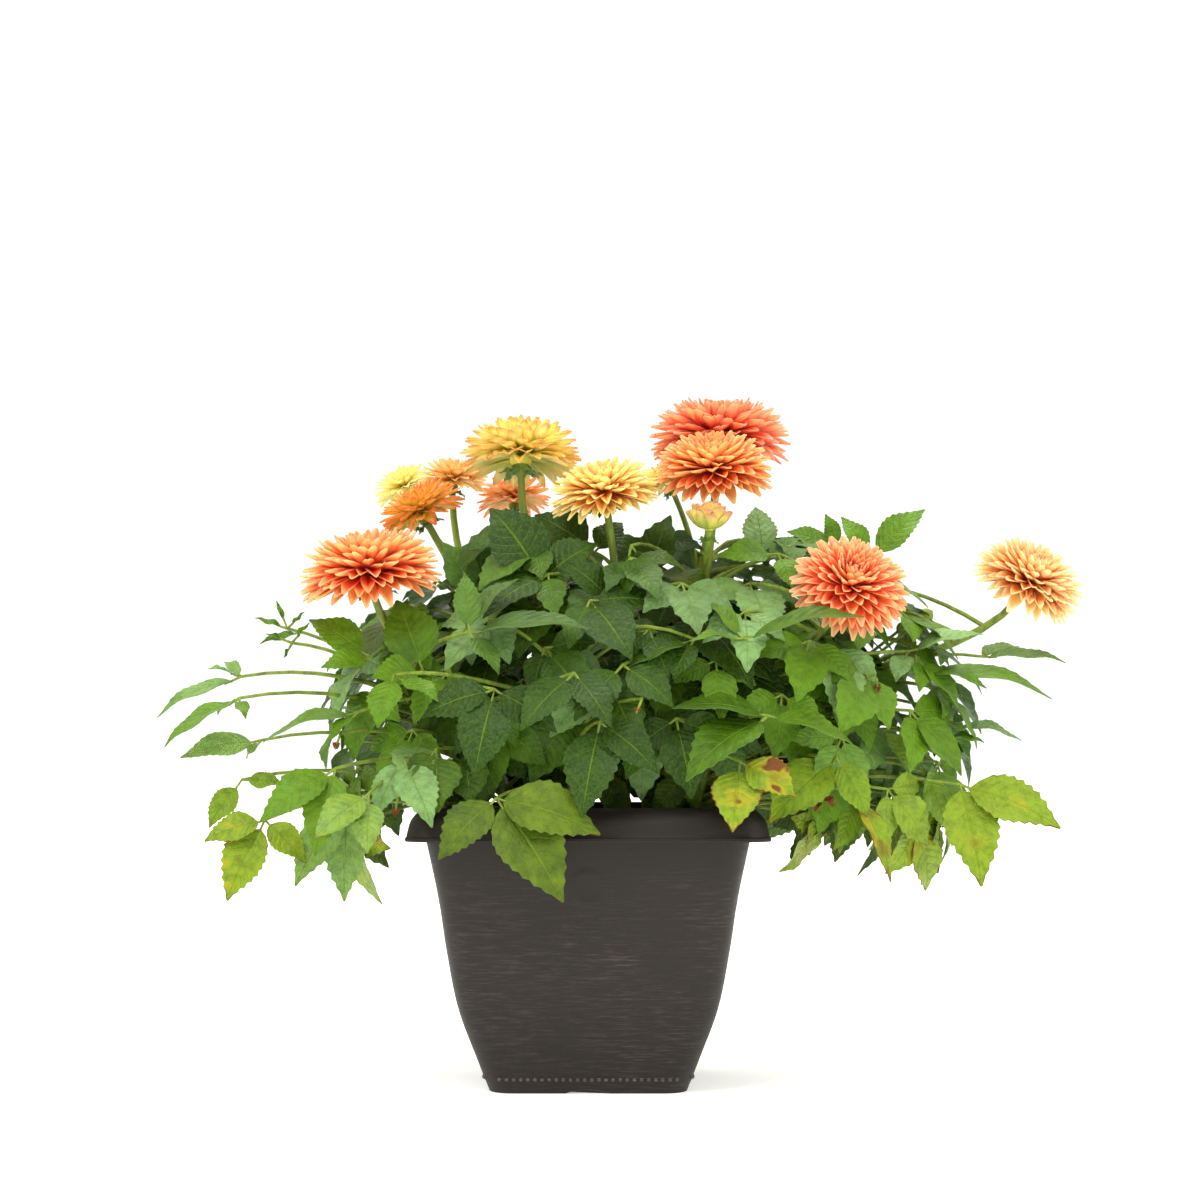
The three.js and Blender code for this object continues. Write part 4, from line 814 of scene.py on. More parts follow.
def make_planter(settings):
    """The moulded planter with its lip, swags and a row of beads round its foot."""
    bm = bmesh.new()
    station = bm.verts.layers.int.new("station")
    start = bmesh.ops.create_circle(bm, cap_ends=True, segments=RING_STEPS, radius=1)["verts"]
    relief = settings.relief / MM
    for index, vert in enumerate(start):
        vert[station] = index

    def settle(verts, half, height, radius, outside):
        for vert in verts:
            point, out, along = station_point(vert[station], half, height, radius)
            if outside:
                point += out * relief * swag_relief(along, height)
                point.z += foot_arch(along, height)
            vert.co = point

    rows = planter_profile()
    settle(start, *rows[0], True)
    edges = ring_edges(start)
    for before, row in zip(rows, rows[1:]):
        verts, edges, _ = extrude_ring(bm, edges)
        settle(verts, *row, row[0] >= before[0] and row[1] < LIP_BOTTOM)
    bmesh.ops.edgeloop_fill(bm, edges=edges)
    bmesh.ops.recalc_face_normals(bm, faces=bm.faces)
    add_beads(bm, settings)
    # The second material is lighter plastic that paints highlights on the beads
    materials = [plastic_material("moulded plastic", settings.dark, settings.light),
                 plastic_material("worn plastic", settings.light, settings.worn)]
    make_piece(bm, "planter", materials, ["pot"], crease=40)


def add_beads(bm, settings):
    """Half sunk beads in a row round the foot, in the lighter plastic that paints their highlights."""
    height = settings.bead_height / MM
    radius = settings.bead_radius / MM
    half = outside_half(height)
    reach = half - CORNER_RADIUS / 2
    for side in range(4):
        turn = Matrix.Rotation(side * math.pi / 2, 4, "Z")
        for index in range(settings.beads_in_row):
            along = reach * (2 * (index + 0.5) / settings.beads_in_row - 1)
            bend = max(0.0, abs(along) - (half - CORNER_RADIUS))
            inset = CORNER_RADIUS - math.sqrt(max(0.0, CORNER_RADIUS**2 - bend**2))
            place = turn @ Matrix.Translation((along, inset - half, height))
            bead = bmesh.ops.create_icosphere(bm, subdivisions=2, radius=radius, matrix=place)
            for face in {face for vert in bead["verts"] for face in vert.link_faces}:
                face.material_index = BEAD_HIGHLIGHT_MATERIAL


def plastic_material(name, dark, light):
    """Dark plastic, brushed along the sides, and darker towards the rim, which is painted shade for the
    shadow of the leaves. The beads take it in lighter colours, which paint their highlights.
    """
    material, tree, shader = new_material(name)
    streaks = object_noise(tree, 5.0, detail=6.0, stretch=(9, 9, 120), roughness=0.75)
    cloud = object_noise(tree, 14.0, detail=3.0)
    # Brushed streaks; on the beads this mask picks the lighter colour that paints their highlights
    worn = maths(tree, "MULTIPLY", ramp(tree, streaks, 0.45, 0.78), ramp(tree, cloud, 0.25, 0.7, 0.25, 1))
    # Painted shade: the plastic is darkened towards the rim, as in the shadow of the leaves above it
    place = add_node(tree, "ShaderNodeTexCoord").outputs["Object"]
    height = add_node(tree, "ShaderNodeSeparateXYZ", {0: place}).outputs[2]
    painted_shade = ramp(tree, height, *(limit * MM for limit in PAINTED_SHADE_HEIGHTS), 0.0, PAINTED_SHADE_SHARE)
    darker = tuple(part * share for part, share in zip(dark, PAINTED_SHADE_SCALE))
    set_inputs(tree, shader, {
        "Base Color": blend(tree, painted_shade, blend(tree, worn, dark, light), darker),
        "Roughness": ramp(tree, streaks, 0.3, 0.7, 0.42, 0.6),
        "Specular IOR Level": 0.3,
    })
    add_bump(tree, shader, streaks, 0.0004, 0.5)
    return material


# Soil

# Steps of its grid, gap to the planter, depth, mound and roughness, and then the crumbs
SOIL_STEPS = 84
SOIL_GAP = 0.4
SOIL_DEPTH = 30
SOIL_TAPER = 0.965
MOUND = 1.4
ROUGH_WIDTH = 11
ROUGH_HEIGHT = 2.2
ROUGH_KIND = (0.9, 2.0, 5)
CRUMB_SEED = 77
CRUMB_INSET = 6
CRUMB_CORNER = 26
CRUMB_CORNER_RADIUS = 20
CRUMB_LEAST = 1.2
CRUMB_MORE = 3.2


def soil_height(x, y, edge):
    """Height of the rough mound of soil at a place."""
    mound = (SOIL_TOP - SOIL_EDGE) * smooth(MOUND - MOUND * math.hypot(x, y) / edge)
    rough = noise.fractal(Vector((x, y, 0)) / ROUGH_WIDTH, *ROUGH_KIND) * ROUGH_HEIGHT
    return SOIL_EDGE + mound + rough


def make_soil(settings):
    """A filling of potting mix with a rough mound on top and loose crumbs."""
    bm = bmesh.new()
    edge = outside_half(SOIL_EDGE) - WALL - SOIL_GAP
    bmesh.ops.create_grid(bm, x_segments=SOIL_STEPS, y_segments=SOIL_STEPS, size=edge)
    straight = edge - (CORNER_RADIUS - WALL)
    for vert in bm.verts:
        x, y = vert.co.x, vert.co.y
        over = Vector((max(0.0, abs(x) - straight), max(0.0, abs(y) - straight)))
        if min(over) > 0:
            share = max(over) / over.length
            x = math.copysign(straight + over.x * share, x)
            y = math.copysign(straight + over.y * share, y)
        vert.co = Vector((x, y, soil_height(x, y, edge)))
    verts, edges, _ = extrude_ring(bm, [item for item in bm.edges if item.is_boundary])
    for vert in verts:
        vert.co.z = SOIL_EDGE - SOIL_DEPTH
        vert.co.xy *= SOIL_TAPER
    bmesh.ops.edgeloop_fill(bm, edges=edges)
    bmesh.ops.recalc_face_normals(bm, faces=bm.faces)
    add_crumbs(bm, edge, settings.crumbs)
    make_piece(bm, "potting_soil", [soil_material(settings)], ["soil"], crease=35)


def add_crumbs(bm, edge, count):
    """Loose crumbs on the soil, except in its corners."""
    draw = draws(CRUMB_SEED)
    reach = edge - CRUMB_INSET
    straight = edge - CRUMB_CORNER
    for _ in range(count):
        x = reach * (2 * next(draw) - 1)
        y = reach * (2 * next(draw) - 1)
        if math.hypot(max(0, abs(x) - straight), max(0, abs(y) - straight)) > CRUMB_CORNER_RADIUS:
            continue
        size = CRUMB_LEAST + CRUMB_MORE * next(draw) ** 3
        turn = Matrix.Rotation(FULL_TURN * next(draw), 4, (next(draw), next(draw), next(draw) + 0.1))
        shape = Matrix.Diagonal((1 + next(draw), 0.6 + 0.5 * next(draw), 0.5, 1))
        place = Matrix.Translation((x, y, soil_height(x, y, edge) + 0.3 * size))
        bmesh.ops.create_icosphere(bm, subdivisions=1, radius=size, matrix=place @ turn @ shape)


def soil_material(settings):
    """Moist peat with lighter bark."""
    material, tree, shader = new_material("potting mix")
    grains = object_noise(tree, 260.0, detail=5.0, roughness=0.7)
    patches = object_noise(tree, 40.0, detail=3.0)
    bark = maths(tree, "MULTIPLY", ramp(tree, grains, 0.45, 0.8), ramp(tree, patches, 0.35, 0.7))
    set_inputs(tree, shader, {
        "Base Color": blend(tree, bark, settings.dark, settings.light),
        "Roughness": 0.95,
    })
    add_bump(tree, shader, grains, 0.002, 0.7)
    return material


# Stems and leaves


def head_of(stem):
    """The head at the top of a stem, or none."""
    return next((head for head in HEADS if head.stem == stem and head.branch is None), None)


def axis_of(head):
    """The way a head looks."""
    return Vector(head.axis).normalized()


def cup_radius(head):
    """Radius of the cup under a head."""
    return CALYX_FIT * CORE_SHARE * head.radius * math.cos(SEAT_ELEVATION)


def stem_curve(index):
    """Control points of one stem."""
    foot, top, lean = STEMS[index]
    head = head_of(index)
    end = Vector(head.seat if head else top)
    way = Vector(head.axis if head else lean).normalized()
    return rising_curve(Vector((*foot, STEM_START)), end, way, STEM_RISE, STEM_ARRIVAL)


STEM_CURVES = [stem_curve(index) for index in range(len(STEMS))]


def attachments(hub):
    """Where a leaf may leave each stem, the nearest first."""
    found = []
    for stem, curve in enumerate(STEM_CURVES):
        share = (hub.z - ROOT_BELOW_HUB - STEM_START) / (curve[-1].z - STEM_START)
        share = min(ROOT_RANGE[1], max(ROOT_RANGE[0], share))
        found.append(((on_curve(curve, share)[0] - hub).length, stem, share))
    return [(stem, share) for _, stem, share in sorted(found)]


def leaf_pose(leaf, attempt):
    """Hub, tips, stem and leaf stalk of a leaf at one of its poses."""
    draw = draws(leaf.seed * POSE_SEEDS + attempt)

    def shift(reach):
        return Vector((next(draw) - 0.5, next(draw) - 0.5, next(draw) - 0.5)) * 2 * reach

    late = math.sqrt(max(0, attempt - STILL_TRIES))
    hub_shift = shift(HUB_STEP * late)
    tip_shift = shift(TIP_STEP * math.sqrt(attempt) + HUB_STEP * late) + hub_shift
    bend_shift = shift(BEND_STEP * math.sqrt(attempt))
    hub = leaf.hub + hub_shift
    stem, share = attachments(leaf.hub)[attempt // TRIES_AT_STEM % NEAR_STEMS]
    root = on_curve(STEM_CURVES[stem], share + ROOT_SPREAD * (next(draw) - 0.5))[0]
    bend = (root + hub) / 2 + bend_shift + UP * PETIOLE_LIFT * (root - hub).length
    tips = [tip + tip_shift for tip in leaf.tips]
    return SimpleNamespace(**{**vars(leaf), "hub": hub, "tips": tips, "stem": stem,
                              "stalk": [root, bend, hub]})


def shaped_leaf(seed, hub, tips, side, ratio, age=None):
    """A listed leaf."""
    return SimpleNamespace(seed=seed, hub=Vector(hub), tips=[Vector(tip) for tip in tips],
                           facing=Vector(side).normalized(), ratio=ratio, age=age)


def blade_frame(base, tip, facing):
    """A blade's own directions: along its rib, to its side and up out of its face."""
    along = (tip - base).normalized()
    side = across(along, facing)
    return SimpleNamespace(base=base, along=along, side=side, up=side.cross(along),
                           length=(tip - base).length)


def ruled_leaf(seed, draw, hub, tip, facing):
    """A leaf placed by rule, with a side leaflet each way of its end leaflet."""
    own = blade_frame(hub, tip, facing)
    tips = [tip]
    for sign in (-1, 1):
        spread = math.radians(between(PAIR_ANGLE, next(draw)))
        share = between(PAIR_LENGTH, next(draw))
        aside = own.along * math.cos(spread) + own.side * sign * math.sin(spread)
        tips.append(hub + (aside - own.up * PAIR_SAG) * share * own.length)
    return SimpleNamespace(seed=seed, hub=hub, tips=tips, facing=facing,
                           ratio=between(RULED_RATIO, next(draw)), age=None)


def skirt_leaf(turn):
    """A leaf that hangs over the rim, or none where the front and the sides are kept free."""
    seed = SKIRT_SEEDS + turn
    draw = draws(seed)
    angle = turn * GOLDEN_TURN
    reach, height, length, drop = (between(limits, next(draw)) for limits in SKIRT)
    out = Vector((math.cos(angle) * SKIRT_WIDTH, math.sin(angle), 0))
    hub = out * reach + Vector((SKIRT_CENTRE_X, 0, height))
    at_side = abs(hub.x) > SIDE_KEPT_FREE_X and hub.y < SIDE_KEPT_FREE_Y
    if hub.y < FRONT_KEPT_FREE or at_side:
        return None
    way = Matrix.Rotation(SKIRT_SWING * (next(draw) - 0.5), 3, "Z") @ out.normalized()
    tip = hub + way * length - UP * drop
    flat = Vector((hub.x + tip.x, hub.y + tip.y, 0)).normalized()
    return ruled_leaf(seed, draw, hub, tip, flat * SKIRT_LOOK[0] + UP * SKIRT_LOOK[1])


def skirt_leaves():
    """The leaves that hang over the rim."""
    leaves = []
    turn = 0
    while len(leaves) < SKIRT_COUNT:
        leaf = skirt_leaf(turn)
        if leaf:
            leaves.append(leaf)
        turn += 1
    return leaves


def fuller(share):
    """Pushes a share of the dome's axes out, so that the dome is less pointed."""
    return math.copysign(abs(share) ** DOME_FULLNESS, share)


def dome_leaf(layer, turn):
    """One leaf on a shell of the crown, that looks out of it and hangs down."""
    count, shell, elevations, start, seeds, lengths = layer
    seed = seeds + turn
    draw = draws(seed)
    limits = [math.sin(math.radians(limit)) for limit in elevations]
    rise = between(limits, (turn + 0.5) / count)
    flat = math.sqrt(1 - rise**2)
    angle = turn * GOLDEN_TURN + start
    away = Vector((math.cos(angle) * fuller(flat), math.sin(angle) * fuller(flat), fuller(rise)))
    axes = Vector(DOME_AXES)
    hub = away * axes * shell * between(DOME_SPREAD, next(draw)) + Vector(DOME_MIDDLE)
    normal = Vector(a / b for a, b in zip(away, axes)).normalized()
    facing = (normal + UP * DOME_LOOK_UP).normalized()
    down = Vector((normal.x, normal.y, 0)) * DOME_HANG_OUT
    down -= UP * (DOME_HANG_LEAST + DOME_HANG_MOST * flat)
    down = (down - facing * down.dot(facing)).normalized()
    way = Matrix.Rotation(DOME_SWING * (next(draw) - 0.5), 3, facing) @ down
    tip = hub + way * between(lengths, next(draw)) - facing * DOME_DIP * next(draw)
    return ruled_leaf(seed, draw, hub, tip, facing)


def hides_head(point):
    """Whether a point stands between a flower head and a viewer in front."""
    viewer = Vector(VIEWER)
    for head in HEADS:
        middle = Vector(head.seat) + axis_of(head) * HEAD_MIDDLE * head.radius
        if point.y < middle.y:
            seen = viewer.lerp(point, (middle.y - viewer.y) / (point.y - viewer.y))
            if (seen - middle).length < head.radius + CLEAR_SIGHT:
                return True
    return False


def dome_leaves(layers):
    """The leaves of some shells of the dome that hide no head."""
    leaves = [dome_leaf(layer, turn) for layer in layers for turn in range(layer[0])]
    return [leaf for leaf in leaves if not any(map(hides_head, [leaf.hub, *leaf.tips]))]


def node_tree_of(name):
    """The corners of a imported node, to look up by place."""
    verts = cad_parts[name].data.vertices
    tree = kdtree.KDTree(len(verts))
    for index, vert in enumerate(verts):
        tree.insert(vert.co / MM, index)
    tree.balance()
    return tree


def packed_leaves():
    """The leaves of the part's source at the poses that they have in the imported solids."""
    trees = [node_tree_of(f"leafy_stem_{index + 1:02d}") for index in range(len(STEMS))]
    found = []
    shaped = [shaped_leaf(index, *row) for index, row in enumerate(LEAVES, 1)]
    for leaf in shaped + dome_leaves(DOME) + skirt_leaves():
        best = None
        for attempt in range(TRIES):
            pose = leaf_pose(leaf, attempt)
            miss = max(trees[pose.stem].find(tip)[2] for tip in pose.tips)
            if miss < SAME_PLACE and (best is None or miss < best[0]):
                best = (miss, pose)
        if best:
            found.append(best[1])
    return found


def is_free(leaf):
    """Whether an added leaf keeps clear of the heads and the planter."""
    corners = [leaf.hub, *leaf.tips]
    for head in HEADS:
        middle = Vector(head.seat) + Vector(head.axis) * HEAD_HEART * head.radius
        if any((point - middle).length < head.radius + CLEAR_SIGHT for point in corners):
            return False
    for point in corners + [(leaf.hub + tip) / 2 for tip in leaf.tips]:
        out = max(abs(point.x), abs(point.y))
        lowest = OVER_SOIL_LOWEST if out < OVER_SOIL_HALF else OVER_RIM_LOWEST
        if out < OVER_RIM_HALF and point.z < lowest:
            return False
    return True


def added_leaves():
    """Leaves that only thicken the crown, and the few that are listed."""
    leaves = [leaf for leaf in dome_leaves(ADDED_DOME) if is_free(leaf)]
    leaves += [shaped_leaf(index, *row) for index, row in enumerate(ADDED_LEAVES, ADDED_LEAF_SEEDS)]
    return [leaf_pose(leaf, 0) for leaf in leaves]


def leaflet_width(share):
    """Half width of a leaflet at a share of its length, as a share of its widest."""
    return max(0.04, math.sin(math.pi * share**0.74)) ** 0.9 * (1 - 0.3 * share**3)


def leaf_look(leaf):
    """How old a leaf is, how fresh it is together with the painted light that lightens the sides of the
    crown, and how much painted grey sheen it takes.
    """
    draw = draws(leaf.seed + LOOK_SEED)
    age = smooth((OLD_BELOW - leaf.hub.z) / OLD_FADE) * between(OLD_SHARE, next(draw))
    age -= YOUNG_SHARE * smooth((leaf.hub.z - YOUNG_ABOVE) / YOUNG_FADE)
    # Painted light: leaves away from the crown's middle are lightened, as the light falls on the sides of
    # the crown and its middle is in shade
    outside = smooth((abs(leaf.hub.x - CROWN_MIDDLE) - PAINTED_LIGHT_FROM) / PAINTED_LIGHT_FADE)
    fresh = FRESH_BY_DRAW * next(draw) + LIGHT_PAINTED_BY_SIDE * outside
    # Share of painted sheen, drawn at random for each leaf
    grey = next(draw)
    return age if leaf.age is None else leaf.age, fresh, grey


def add_leaflet(bm, template, steps, base, tip, facing, ratio, seed, looks, settings):
    """One toothed, waved blade with its midrib, from base to tip."""
    own = blade_frame(base, tip, facing)
    half = ratio * own.length
    draw = draws(seed)
    thickness = settings.blade_thickness / MM
    midrib = settings.midrib / MM
    wave = WAVE_LEAST + WAVE_MORE * next(draw)
    phase = FULL_TURN * next(draw)
    teeth = TEETH_LEAST + TEETH_MORE * next(draw)
    twist = TWIST * (next(draw) - 0.5)
    # fresh holds painted light for the sides of the crown as well as freshness, and grey is the share of
    # painted sheen
    age, fresh, grey = looks
    age += AGE_SPREAD * (next(draw) - 0.5)
    fresh += FRESH_SPREAD * (next(draw) - 0.5)
    look = bm.verts.layers.float_color["look"]
    for vert in append_template(bm, template):
        side, share, depth = 2 * vert.co.x, vert.co.y + 0.5, -vert.co.z
        width = half * leaflet_width(share)
        step = round(share * steps)
        if abs(side) > AT_EDGE and 0 < step < steps:
            outwards = 1 if step % 2 else -1
            fade = min(1.0, 4 * (1 - share), 5 * share)
            width += teeth * half * outwards * fade
            share += TEETH_LEAN * max(0, outwards) * fade / steps
        sideways = side * width
        lift = BLADE_ARCH * own.length * 4 * share * (1 - share) + BLADE_FOLD * abs(sideways)
        lift += wave * side * side * math.sin(WAVE_TURNS * share + phase) * math.sin(math.pi * share)
        lift += twist * sideways * share
        lift -= depth * (thickness + midrib * (1 - share) * max(0.0, 1 - 3 * abs(side)))
        vert.co = own.base + own.along * share * own.length + own.side * sideways + own.up * lift
        vert[look] = (age, fresh, grey, 1)


def leaf_nodes(leaf):
    """Pairs of side leaflets with the middle of the stalk's node that they stand on."""
    end, *others = leaf.tips
    ahead = (end - leaf.hub).normalized()
    side = across(ahead, leaf.facing)
    nodes = []
    for tip in others:
        way = 1 if (tip - leaf.hub).dot(side) > 0 else -1
        free = next((node for node in nodes if way not in [w for w, _ in node]), None)
        if free is None:
            free = []
            nodes.append(free)
        free.append((way, tip))
    arriving = on_curve(leaf.stalk, 1)[1]
    return [(leaf.hub - arriving * NODE_SPACING * index, [tip for _, tip in node])
            for index, node in enumerate(nodes)]


def add_leaf(bm, templates, leaf, settings):
    """A compound leaf: its stalk from the stem to the hub, and its leaflets."""
    grid = CROWN_GRID if leaf.seed >= ADDED_SEEDS else LEAFLET_GRID
    looks = leaf_look(leaf)

    def leaflet(start, tip, number):
        add_leaflet(bm, templates[grid], grid[1], start, tip, leaf.facing, leaf.ratio,
                    leaf.seed * LEAFLET_SEEDS + number, looks, settings)

    end = leaf.tips[0]
    ahead = (end - leaf.hub).normalized()
    base = leaf.hub + ahead * END_NECK
    stations = []
    for step in range(PETIOLE_STEPS + 1):
        point, along = on_curve(leaf.stalk, step / PETIOLE_STEPS)
        stations.append((point, along, PETIOLE_RADIUS * (1.25 - 0.5 * step / PETIOLE_STEPS)))
    stations.append((base, ahead, 0.8 * NODE_RADIUS))
    stations.append((base + ahead * END_NECK_INSIDE, ahead, 0.35 * NODE_RADIUS))
    add_tube(bm, stations, PETIOLE_SIDES)
    number = 0
    for centre, tips in leaf_nodes(leaf):
        for tip in tips:
            way = (tip - centre).normalized()
            start = centre + way * SIDE_NECK
            neck = [(centre, way, NODE_RADIUS), (start, way, 0.8 * NODE_RADIUS),
                    (start + way * SIDE_NECK_INSIDE, way, 0.3 * NODE_RADIUS)]
            add_tube(bm, neck, NECK_SIDES)
            number += 1
            leaflet(start, tip, number)
    leaflet(base, end, 0)


def calyx_stations(curve, head, radius, foot=()):
    """Stations of a stalk that ends in the cup under its head."""
    length = (curve[-1] - curve[0]).length * CURVE_TO_CHORD
    stop = 1 - CALYX_LENGTH / length
    stations = list(foot)
    for step in range(STALK_STEPS + 1):
        share = stop * step / STALK_STEPS
        point, along = on_curve(curve, share)
        swell = 1 + SWELL * math.sin(SWELL_TURNS * share + head.radius)
        stations.append((point, along, between(radius, step / STALK_STEPS) * swell))
    seat, axis = on_curve(curve, 1)
    for back, share in CUP:
        stations.append((seat - axis * back, axis, max(share * cup_radius(head), radius[1])))
    return stations


def add_bracts(bm, templates, head, settings):
    """Small green leaves under a head, bent back from its cup."""
    axis = axis_of(head)
    first = across(axis, AHEAD)
    for index in range(BRACTS):
        out = Matrix.Rotation(2 * math.pi * index / BRACTS, 3, axis) @ first
        base = Vector(head.seat) - axis * BRACT_BACK + out * cup_radius(head) * BRACT_OUT
        tip = base + out * head.radius * BRACT_REACH - axis * BRACT_DROPS[index % 2]
        add_leaflet(bm, templates[CROWN_GRID], CROWN_GRID[1], base, tip, axis, BRACT_RATIO,
                    BRACT_SEED_STEP * index + BRACT_SEED, BRACT_LOOK, settings)


def make_leafy_stem(index, leaves, templates, materials, settings):
    """One stem with its leaves, side stalks, buds and cups."""
    bm = new_foliage()
    curve = STEM_CURVES[index]
    head = head_of(index)
    foot = [(Vector((*STEMS[index][0], STEM_FOOT)), UP, STEM_RADIUS)]
    if head:
        add_tube(bm, calyx_stations(curve, head, (STEM_RADIUS, STALK_RADIUS), foot), STEM_SIDES)
        add_bracts(bm, templates, head, settings)
    else:
        for step in range(STEM_STEPS + 1):
            share = step / STEM_STEPS
            foot.append((*on_curve(curve, share), between((STEM_RADIUS, STEM_TIP_RADIUS), share)))
        add_tube(bm, foot, STEM_SIDES)
    for side in [other for other in HEADS if other.stem == index and other.branch is not None]:
        start = on_curve(curve, side.branch)[0]
        branch = rising_curve(start, Vector(side.seat), axis_of(side), BRANCH_RISE, BRANCH_ARRIVAL)
        add_tube(bm, calyx_stations(branch, side, (BRANCH_RADIUS, BRANCH_RADIUS)), BRANCH_SIDES)
        add_bracts(bm, templates, side, settings)
    for stem, share, middle, radius in GREEN_BUDS:
        if stem == index:
            add_green_bud(bm, on_curve(curve, share)[0], Vector(middle), radius)
    for leaf in leaves:
        add_leaf(bm, templates, leaf, settings)
    name = f"leafy_stem_{index + 1:02d}"
    make_piece(bm, f"foliage_{index + 1:02d}", materials, [name])


def add_green_bud(bm, start, middle, radius):
    """A closed bud on its stalk: a pointed ball."""
    along = (middle - start).normalized()
    stations = [(start, along, 1.5), (middle - along * radius * 1.1, along, 1.4)]
    for step in range(1, BUD_STEPS):
        angle = math.pi * step / BUD_STEPS
        reach = -math.cos(angle) * radius
        stations.append((middle + along * reach, along, radius * math.sin(angle) ** 0.9))
    stations.append((middle + along * radius * 1.15, along, 0.3))
    add_tube(bm, stations, STEM_SIDES)


# Side veins in the length of a leaflet, their slant and bend, how far half of one reaches, and the rib
VEINS = 8.0
VEIN_SLANT = 1.7
VEIN_BEND = 1.3
VEIN_HALF = 0.08
RIB = (0.015, 0.06)


def leaf_veins(tree, blade):
    """How strong the rib and the side veins are, and how far it is to the nearest side vein."""
    slanted = maths(tree, "MULTIPLY", maths(tree, "POWER", blade.side, VEIN_BEND), VEIN_SLANT)
    line = maths(tree, "SUBTRACT", maths(tree, "MULTIPLY", blade.share, VEINS), slanted)
    away = maths(tree, "PINGPONG", line, 0.5)
    vein = ramp(tree, away, 0.0, VEIN_HALF, 1.0, 0.0)
    vein = maths(tree, "MULTIPLY", vein, ramp(tree, blade.side, 0.2, 1.0, 1.0, 0.3))
    rib = ramp(tree, blade.side, *RIB, 1.0, 0.0)
    return maths(tree, "MAXIMUM", maths(tree, "MULTIPLY", vein, 0.45), rib), away


def dry_parts(tree, blade, age, mottle, spots):
    """Where a leaf is dry and brown: a ragged edge, a leaf that dried whole, and spots."""
    ragged = added(tree, blade.side, mottle, 0.5)
    ragged = added(tree, ragged, ramp(tree, blade.share, 0.8, 1.0, 0.0, 0.4))
    edge = ramp(tree, added(tree, ragged, age, 0.35), 1.53, 1.62)
    edge = maths(tree, "MULTIPLY", edge, ramp(tree, age, 0.15, 0.5))
    dried = ramp(tree, added(tree, age, mottle), 1.5, 1.9)
    return maths(tree, "MAXIMUM", maths(tree, "MAXIMUM", edge, dried), spots)


def leaf_material(settings):
    """Leaf green from deep to fresh, with patches of age, a darker net, pale veins and a greyer back.
    The fresh green also carries painted light, which lightens the leaves on the sides of the crown,
    and some leaves take a painted grey sheen, as if they reflected the sky. The oldest leaves have
    yellow patches with brown spots in them and dry edges."""
    material, tree, shader = new_material("dahlia leaf")
    blade = blade_inputs(tree)
    age, freshness_and_light, grey = blade.look
    mottle = object_noise(tree, 55.0, detail=3.0)
    fine = object_noise(tree, 420.0, detail=2.0)
    net = object_noise(tree, 120.0, detail=4.0, roughness=0.6)
    patches = object_noise(tree, 30.0, detail=2.0)
    veins, away = leaf_veins(tree, blade)
    # Fresh green by the leaf's freshness and by painted light on the sides of the crown
    fresh = ramp(tree, added(tree, freshness_and_light, mottle, 0.5), 0.3, 1.3)
    body = blend(tree, fresh, settings.deep, settings.fresh)
    # Painted sheen: leaves with the highest draws are greyed as if they reflected the sky
    body = blend(tree, ramp(tree, grey, 0.7, 1.0, 0.0, 0.8), body, settings.grey)
    patchy = added(tree, age, maths(tree, "MULTIPLY_ADD", mottle, 0.5, -0.25))
    body = blend(tree, ramp(tree, patchy, 0.05, 0.9), body, settings.old)
    body = blend(tree, ramp(tree, fine, 0.35, 0.7, 0.0, 0.22), body, settings.fresh)
    body = blend(tree, ramp(tree, net, 0.6, 0.3, 0.0, 0.35), body, settings.deep)
    pale = blend(tree, 0.45, settings.fresh, settings.old)
    body = blend(tree, maths(tree, "MULTIPLY", veins, 0.45), body, pale)
    body = blend(tree, blade.under, body, blend(tree, 0.5, body, settings.grey))
    oldest = ramp(tree, age, 0.75, 0.95)
    halo = maths(tree, "MULTIPLY", ramp(tree, patches, 0.54, 0.62, 0.0, 0.6), oldest)
    body = blend(tree, halo, body, settings.yellow)
    spots = maths(tree, "MULTIPLY", ramp(tree, patches, 0.635, 0.67), oldest)
    set_inputs(tree, shader, {
        "Base Color": blend(tree, dry_parts(tree, blade, age, mottle, spots), body, settings.dry),
        "Roughness": ramp(tree, mottle, 0.3, 0.7, 0.36, 0.5),
        "Specular IOR Level": 0.2,
    })
    relief = added(tree, added(tree, fine, away, 0.9), net)
    add_bump(tree, shader, maths(tree, "SUBTRACT", relief, veins), 0.001, 0.7)
    return material


def stalk_material(settings):
    """Green stalks with faint streaks."""
    material, tree, shader = new_material("dahlia stalk")
    streaks = object_noise(tree, 30.0, detail=4.0, stretch=(5, 5, 1))
    dark = tuple(0.55 * value for value in settings.stalk)
    set_inputs(tree, shader, {
        "Base Color": blend(tree, ramp(tree, streaks, 0.3, 0.7), dark, settings.stalk),
        "Roughness": 0.5,
        "Specular IOR Level": 0.3,
    })
    add_bump(tree, shader, streaks, 0.0003, 0.4)
    return material


# Flower heads

# How far petals reach by their elevation in degrees, as a share of the head's radius
REACH = [(-40, 0.93), (-13, 1.0), (8, 0.98), (28, 0.87), (48, 0.7), (68, 0.56), (90, 0.44)]
BUD_REACH = [(0, 0.98), (20, 1.0), (60, 0.96), (90, 0.86)]
NEARLY_UPRIGHT = 0.95

# Draws of a petal: length, width and cup as shares, tilt and curl in degrees, and lean to a side
LENGTH_SPREAD = (0.94, 1.02)
WIDTH_SPREAD = (0.88, 1.12)
CUP_SPREAD = (0.75, 1.25)
TILT_SPREAD = 5
CURL_SPREAD = 8
LEAN = 0.5

# How much petals crowd towards the outside, where a petal is widest, how blunt its end is, its lines,
# how deep in the core it starts, and the shown core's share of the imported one
INNER_POWER = 1.25
WIDEST = 0.6
BLUNT_END = 0.24
PETAL_LINES = 9.0
ROOT_IN_CORE = 0.75
CORE_FIT = 0.96


